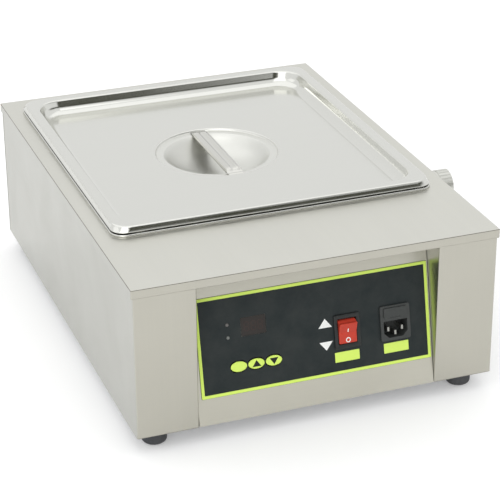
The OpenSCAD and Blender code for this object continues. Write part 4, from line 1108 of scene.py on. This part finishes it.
for node, side in KEY_SIDES.items():
    cap = key_cap(node + "_cap", side)
    face_outwards(cap)
    dress(cap, lime_ink)
    # Painted shade: the cap's faces behind the film are dark, for the shade there.
    refinish(cap, dark_ink_and_shade, lambda f: (panel_frame.inverted() @ f.center).y > -FILM)
    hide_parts(node)
    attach(cap, node)
    count_faces(cap)

for node, way in (("up_key", 1), ("down_key", -1)):
    side = KEY_SIDES[node]
    mark = ink(node + "_arrow", [triangle(side, KEY_UP - way * 2.7 * MM, 8.4 * MM, way * 6.2 * MM)],
               dark_ink_and_shade, depth=-FILM - KEY_PROUD + 0.06 * MM, lift=0.12 * MM)
    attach(mark, node)

# %% [markdown]
# ## The rocker switch
# The bezel is a black moulding with a rounded outer edge and a sloping inner one. The rocker is
# a prism with two faces that meet in a shallow crease, so one end always stands proud. Its two
# marks are moulded in white: a bar and a ring, drawn as thin solids on the face that they sit on.

# %% Bezel
ROCKER_SIDE, ROCKER_UP = middle_side("rocker"), 66.5 * MM
BEZEL_W, BEZEL_H, BEZEL_T = mm(26, 33, 2)
POCKET_W, POCKET_L, POCKET_DEPTH = mm(18.5, 24.3, 13.3)
SWITCH_W, SWITCH_L, SWITCH_DEPTH = mm(23.6, 29, 21.5)
HALF_THROW = math.radians(11)
PIVOT_BACK = 4 * MM


def on_switch(p):
    """A point of the switch, from the rocker's middle, in the object's frame."""
    return on_panel(ROCKER_SIDE + p.x, ROCKER_UP + p.y, p.z)


bezel_rows = [(SWITCH_W, SWITCH_L, 1.0, SWITCH_DEPTH), (SWITCH_W, SWITCH_L, 1.0, -FILM),
              (BEZEL_W, BEZEL_H, 2.0, -FILM), (BEZEL_W, BEZEL_H, 2.0, -FILM - 1.0 * MM)]
for a in angles(4):
    shrink = 2 * MM * (1 - math.cos(a))
    bezel_rows.append((BEZEL_W - shrink, BEZEL_H - shrink, 1.6, -FILM - 1.0 * MM - 1.0 * MM * math.sin(a)))
bezel_rows += [(POCKET_W + 1.8 * MM, POCKET_L + 1.8 * MM, 1.0, -FILM - BEZEL_T),
               (POCKET_W + 0.4 * MM, POCKET_L + 0.4 * MM, 0.8, -FILM - BEZEL_T + 0.5 * MM),
               (POCKET_W, POCKET_L, 0.6, -FILM - BEZEL_T + 1.0 * MM),
               (POCKET_W, POCKET_L, 0.6, POCKET_DEPTH)]
bezel = loft("switch_bezel", [rounded_loop(w, h, r * MM, back) for w, h, r, back in bezel_rows],
             close_start=True, close_end=True, place=on_switch)
face_outwards(bezel)
bezel.modifiers.new("flat faces", "WEIGHTED_NORMAL")
dress(bezel, black_plastic)
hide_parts("switch_housing")
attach(bezel, "housing")
count_faces(bezel)

# %% Rocker
ROCKER_W, ROCKER_L = mm(17.8, 23.6)
SHOULDER = math.radians(12)
rocker_turn = Matrix.Rotation(HALF_THROW, 4, "X")
rocker_front = BEZEL_T + FILM + PIVOT_BACK + 0.3 * MM
rocker_reach = ROCKER_L / 2 - 0.175 * MM
corner_radius = math.hypot(rocker_reach, rocker_front)
corner_angle = math.atan2(rocker_front, rocker_reach) + HALF_THROW
crease = rocker_front / math.cos(HALF_THROW)
face_along, face_out = on_circle(corner_radius, corner_angle)


def on_rocker(side, along, out):
    """A point of the rocker, at mid swing along its length and out from its pivot, at rest."""
    swung = rocker_turn @ Vector((side, -out, along))
    return on_panel(ROCKER_SIDE + swung.x, ROCKER_UP + swung.z, PIVOT_BACK + swung.y)


def rocker_outline():
    """Half the side view, from the crease to the foot, then mirrored."""
    half = [(0.0, crease), (face_along, face_out)]
    for a in [*reversed(angles(6, corner_angle - SHOULDER, first=0)), -HALF_THROW]:
        half.append(on_circle(rocker_reach, a))
    half.append(mm(9, -6))
    return half + [(-x, y) for x, y in reversed(half[1:])]


rocker_ends = [[on_rocker(side, x, y) for x, y in rocker_outline()]
               for side in (-ROCKER_W / 2, ROCKER_W / 2)]
paddle = loft("rocker_paddle", rocker_ends, close_start=True, close_end=True)
face_outwards(paddle)
soften(paddle, 0.6 * MM, segments=3, angle=9)
dress(paddle, red_plastic)
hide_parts("rocker")
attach(paddle, "rocker")
count_faces(paddle)

# %% Marks on the rocker
MARK_RISE = 0.1 * MM
face_slope = (face_out - crease) / face_along


def rocker_face(side, along, lift):
    """A point on the rocker's face, lifted off it."""
    return on_rocker(side, along, crease + face_slope * abs(along) + lift)


def rocker_mark(name, outer, inner):
    """A raised white mark: a closed band between an outer and an inner outline."""
    made = band(name, outer, inner, rocker_face, (-MARK_RISE, MARK_RISE), white_ink)
    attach(made, "rocker")


def circle(diameter, at):
    """A circle on the rocker's face, at a place along it."""
    return [on_circle(diameter / 2, a, (0.0, at)) for a in full_turn(28)]


def bar(w, h, at):
    """An upright rectangle on the rocker's face, at a place along it."""
    return [(w / 2, at - h / 2), (w / 2, at + h / 2), (-w / 2, at + h / 2), (-w / 2, at - h / 2)]


RING_AT, BAR_AT = mm(-6.9, 2.6)
rocker_mark("off_ring", circle(4.8 * MM, RING_AT), circle(3.0 * MM, RING_AT))
rocker_mark("on_bar", bar(0.95 * MM, 3.8 * MM, BAR_AT), bar(0.02 * MM, 2.9 * MM, BAR_AT))
print("rocker marks made")

# %% [markdown]
# ## The digits behind the window
# Three unlit digits show faintly through the tinted window: seven short bars each, a shade
# lighter than the film around them. They repeat, so one bar is placed on points by the same
# node tree as the feet.

# %% Digits
DIGIT_W, DIGIT_H, DIGIT_PITCH, SEGMENT = mm(4.2, 8.4, 6.6, 0.75)
WINDOW_SIDE, WINDOW_UP = middle_side("display_window"), 87.5 * MM


def segment_source():
    """One bar with pointed ends, lying in the panel's plane."""
    half = DIGIT_W / 2 - 0.35 * MM
    outline = [(-half, 0), (-half + SEGMENT / 2, -SEGMENT / 2), (half - SEGMENT / 2, -SEGMENT / 2),
               (half, 0), (half - SEGMENT / 2, SEGMENT / 2), (-half + SEGMENT / 2, SEGMENT / 2)]
    loops = [[(x, -out, y) for x, y in outline] for out in (0.0, 0.03 * MM)]
    return loft("segment_shape", loops, close_end=True, smooth=False)


def turned(angle):
    """Euler angles of a bar that is first turned in the panel's plane and then leant back."""
    return (Matrix.Rotation(-TILT, 3, "X") @ Matrix.Rotation(angle, 3, "Y")).to_euler("XYZ")


places, turns = [], []
for digit in (-1, 0, 1):
    middle = WINDOW_SIDE + digit * DIGIT_PITCH
    for level in (-1, 0, 1):
        places.append(on_panel(middle, WINDOW_UP + level * DIGIT_H / 2, -FILM))
        turns.append(turned(0))
    for sx in (-1, 1):
        for sy in (-1, 1):
            places.append(on_panel(middle + sx * DIGIT_W / 2, WINDOW_UP + sy * DIGIT_H / 4, -FILM))
            turns.append(turned(QUARTER))

digits = copies("display_digits", segment_source(), places, turns, digit_unlit)
face_outwards(digits)
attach(digits, "housing")
count_faces(digits)

# %% [markdown]
# ## Floor, light and world
# The floor is a plain white sheet that runs far behind the machine. Seen by the camera, or in the
# steel, it gets a little light of its own, so that it reads as white while it still takes the
# machine's shadow. The world is a soft white room, dark low down in front, because polished edges
# need something dark to draw their line. Large, weak softboxes leave no hard spots in the steel.

# %% Floor
bpy.context.scene.view_settings.view_transform = "Standard"
FLOOR_HALF, FLOOR_GLOW = 6.0, 0.22


def floor_material():
    """White where the camera or the steel sees it, and still open to shadow."""
    material, tree, shader = new_material("studio floor")
    feed(shader, {"Base Color": (0.8, 0.8, 0.8, 1), "Roughness": 0.9})
    path = add(tree, "ShaderNodeLightPath").outputs
    seen = math_node(tree, "MAXIMUM", *(path[ray] for ray in
                     ("Is Camera Ray", "Is Glossy Ray", "Is Transmission Ray")))
    strength = math_node(tree, "MULTIPLY", seen, FLOOR_GLOW)
    glow = add(tree, "ShaderNodeEmission", {"Color": (1, 1, 1, 1), "Strength": strength})
    both = add(tree, "ShaderNodeAddShader", {0: shader.outputs["BSDF"], 1: glow.outputs["Emission"]})
    feed(tree.nodes["Material Output"], {"Surface": both.outputs["Shader"]})
    return material


floor_corners = [(sx * FLOOR_HALF, sy * FLOOR_HALF, 0) for sx, sy in ((-1, -1), (1, -1), (1, 1), (-1, 1))]
floor = mesh_object("studio_floor", floor_corners, [(0, 1, 2, 3)], smooth=False)
floor.location.z = -0.2 * MM
dress(floor, floor_material())

# %% World


def build_world():
    """White above and behind, dark low in front, but for the lowest part far to the right."""
    world = bpy.data.worlds.new("studio")
    bpy.context.scene.world = world
    world.use_nodes = True
    tree = world.node_tree
    place = add(tree, "ShaderNodeTexCoord").outputs["Generated"]
    x, y, z = add(tree, "ShaderNodeSeparateXYZ", {"Vector": place}).outputs
    front, low, right_side = (map_range(tree, value, start, stop, soft=True) for value, start, stop in
                              ((y, -0.1, -0.55), (z, 0.6, 0.4), (x, -0.4, 0.0)))
    not_far = map_range(tree, x, 0.42, 0.26, soft=True)
    not_lowest = map_range(tree, z, 0.19, 0.28, soft=True)
    kept = math_node(tree, "MAXIMUM", not_far, not_lowest)
    dark = math_node(tree, "MULTIPLY", front, low, right_side, kept)
    color = tint(tree, dark, (0.97, 0.975, 0.975), (0.06, 0.062, 0.045))
    feed(tree.nodes["Background"], {"Color": color, "Strength": 1.0})


build_world()
print("world ready")

# %% Lamps
LAMP_AIM = Vector((0, 0, 0.1))
LAMP_SPREAD = math.radians(160)


def softbox(name, at, size, power):
    """A square area lamp that points at the machine."""
    light = bpy.data.lights.new(name, "AREA")
    light.shape = "SQUARE"
    light.size = size
    light.energy = power
    light.spread = LAMP_SPREAD
    lamp = new_object(name, light)
    lamp.location = at
    lamp.rotation_euler = (LAMP_AIM - Vector(at)).to_track_quat("-Z", "Y").to_euler()


softbox("front box", at=(-0.7, -1.9, 2.3), size=2.8, power=14)
softbox("low front box", at=(-1.4, -2.8, 1.2), size=2.0, power=13)
softbox("left box", at=(-2.2, 0.2, 1.9), size=1.6, power=2)
softbox("top box", at=(0.1, 0.9, 2.8), size=3.4, power=10)
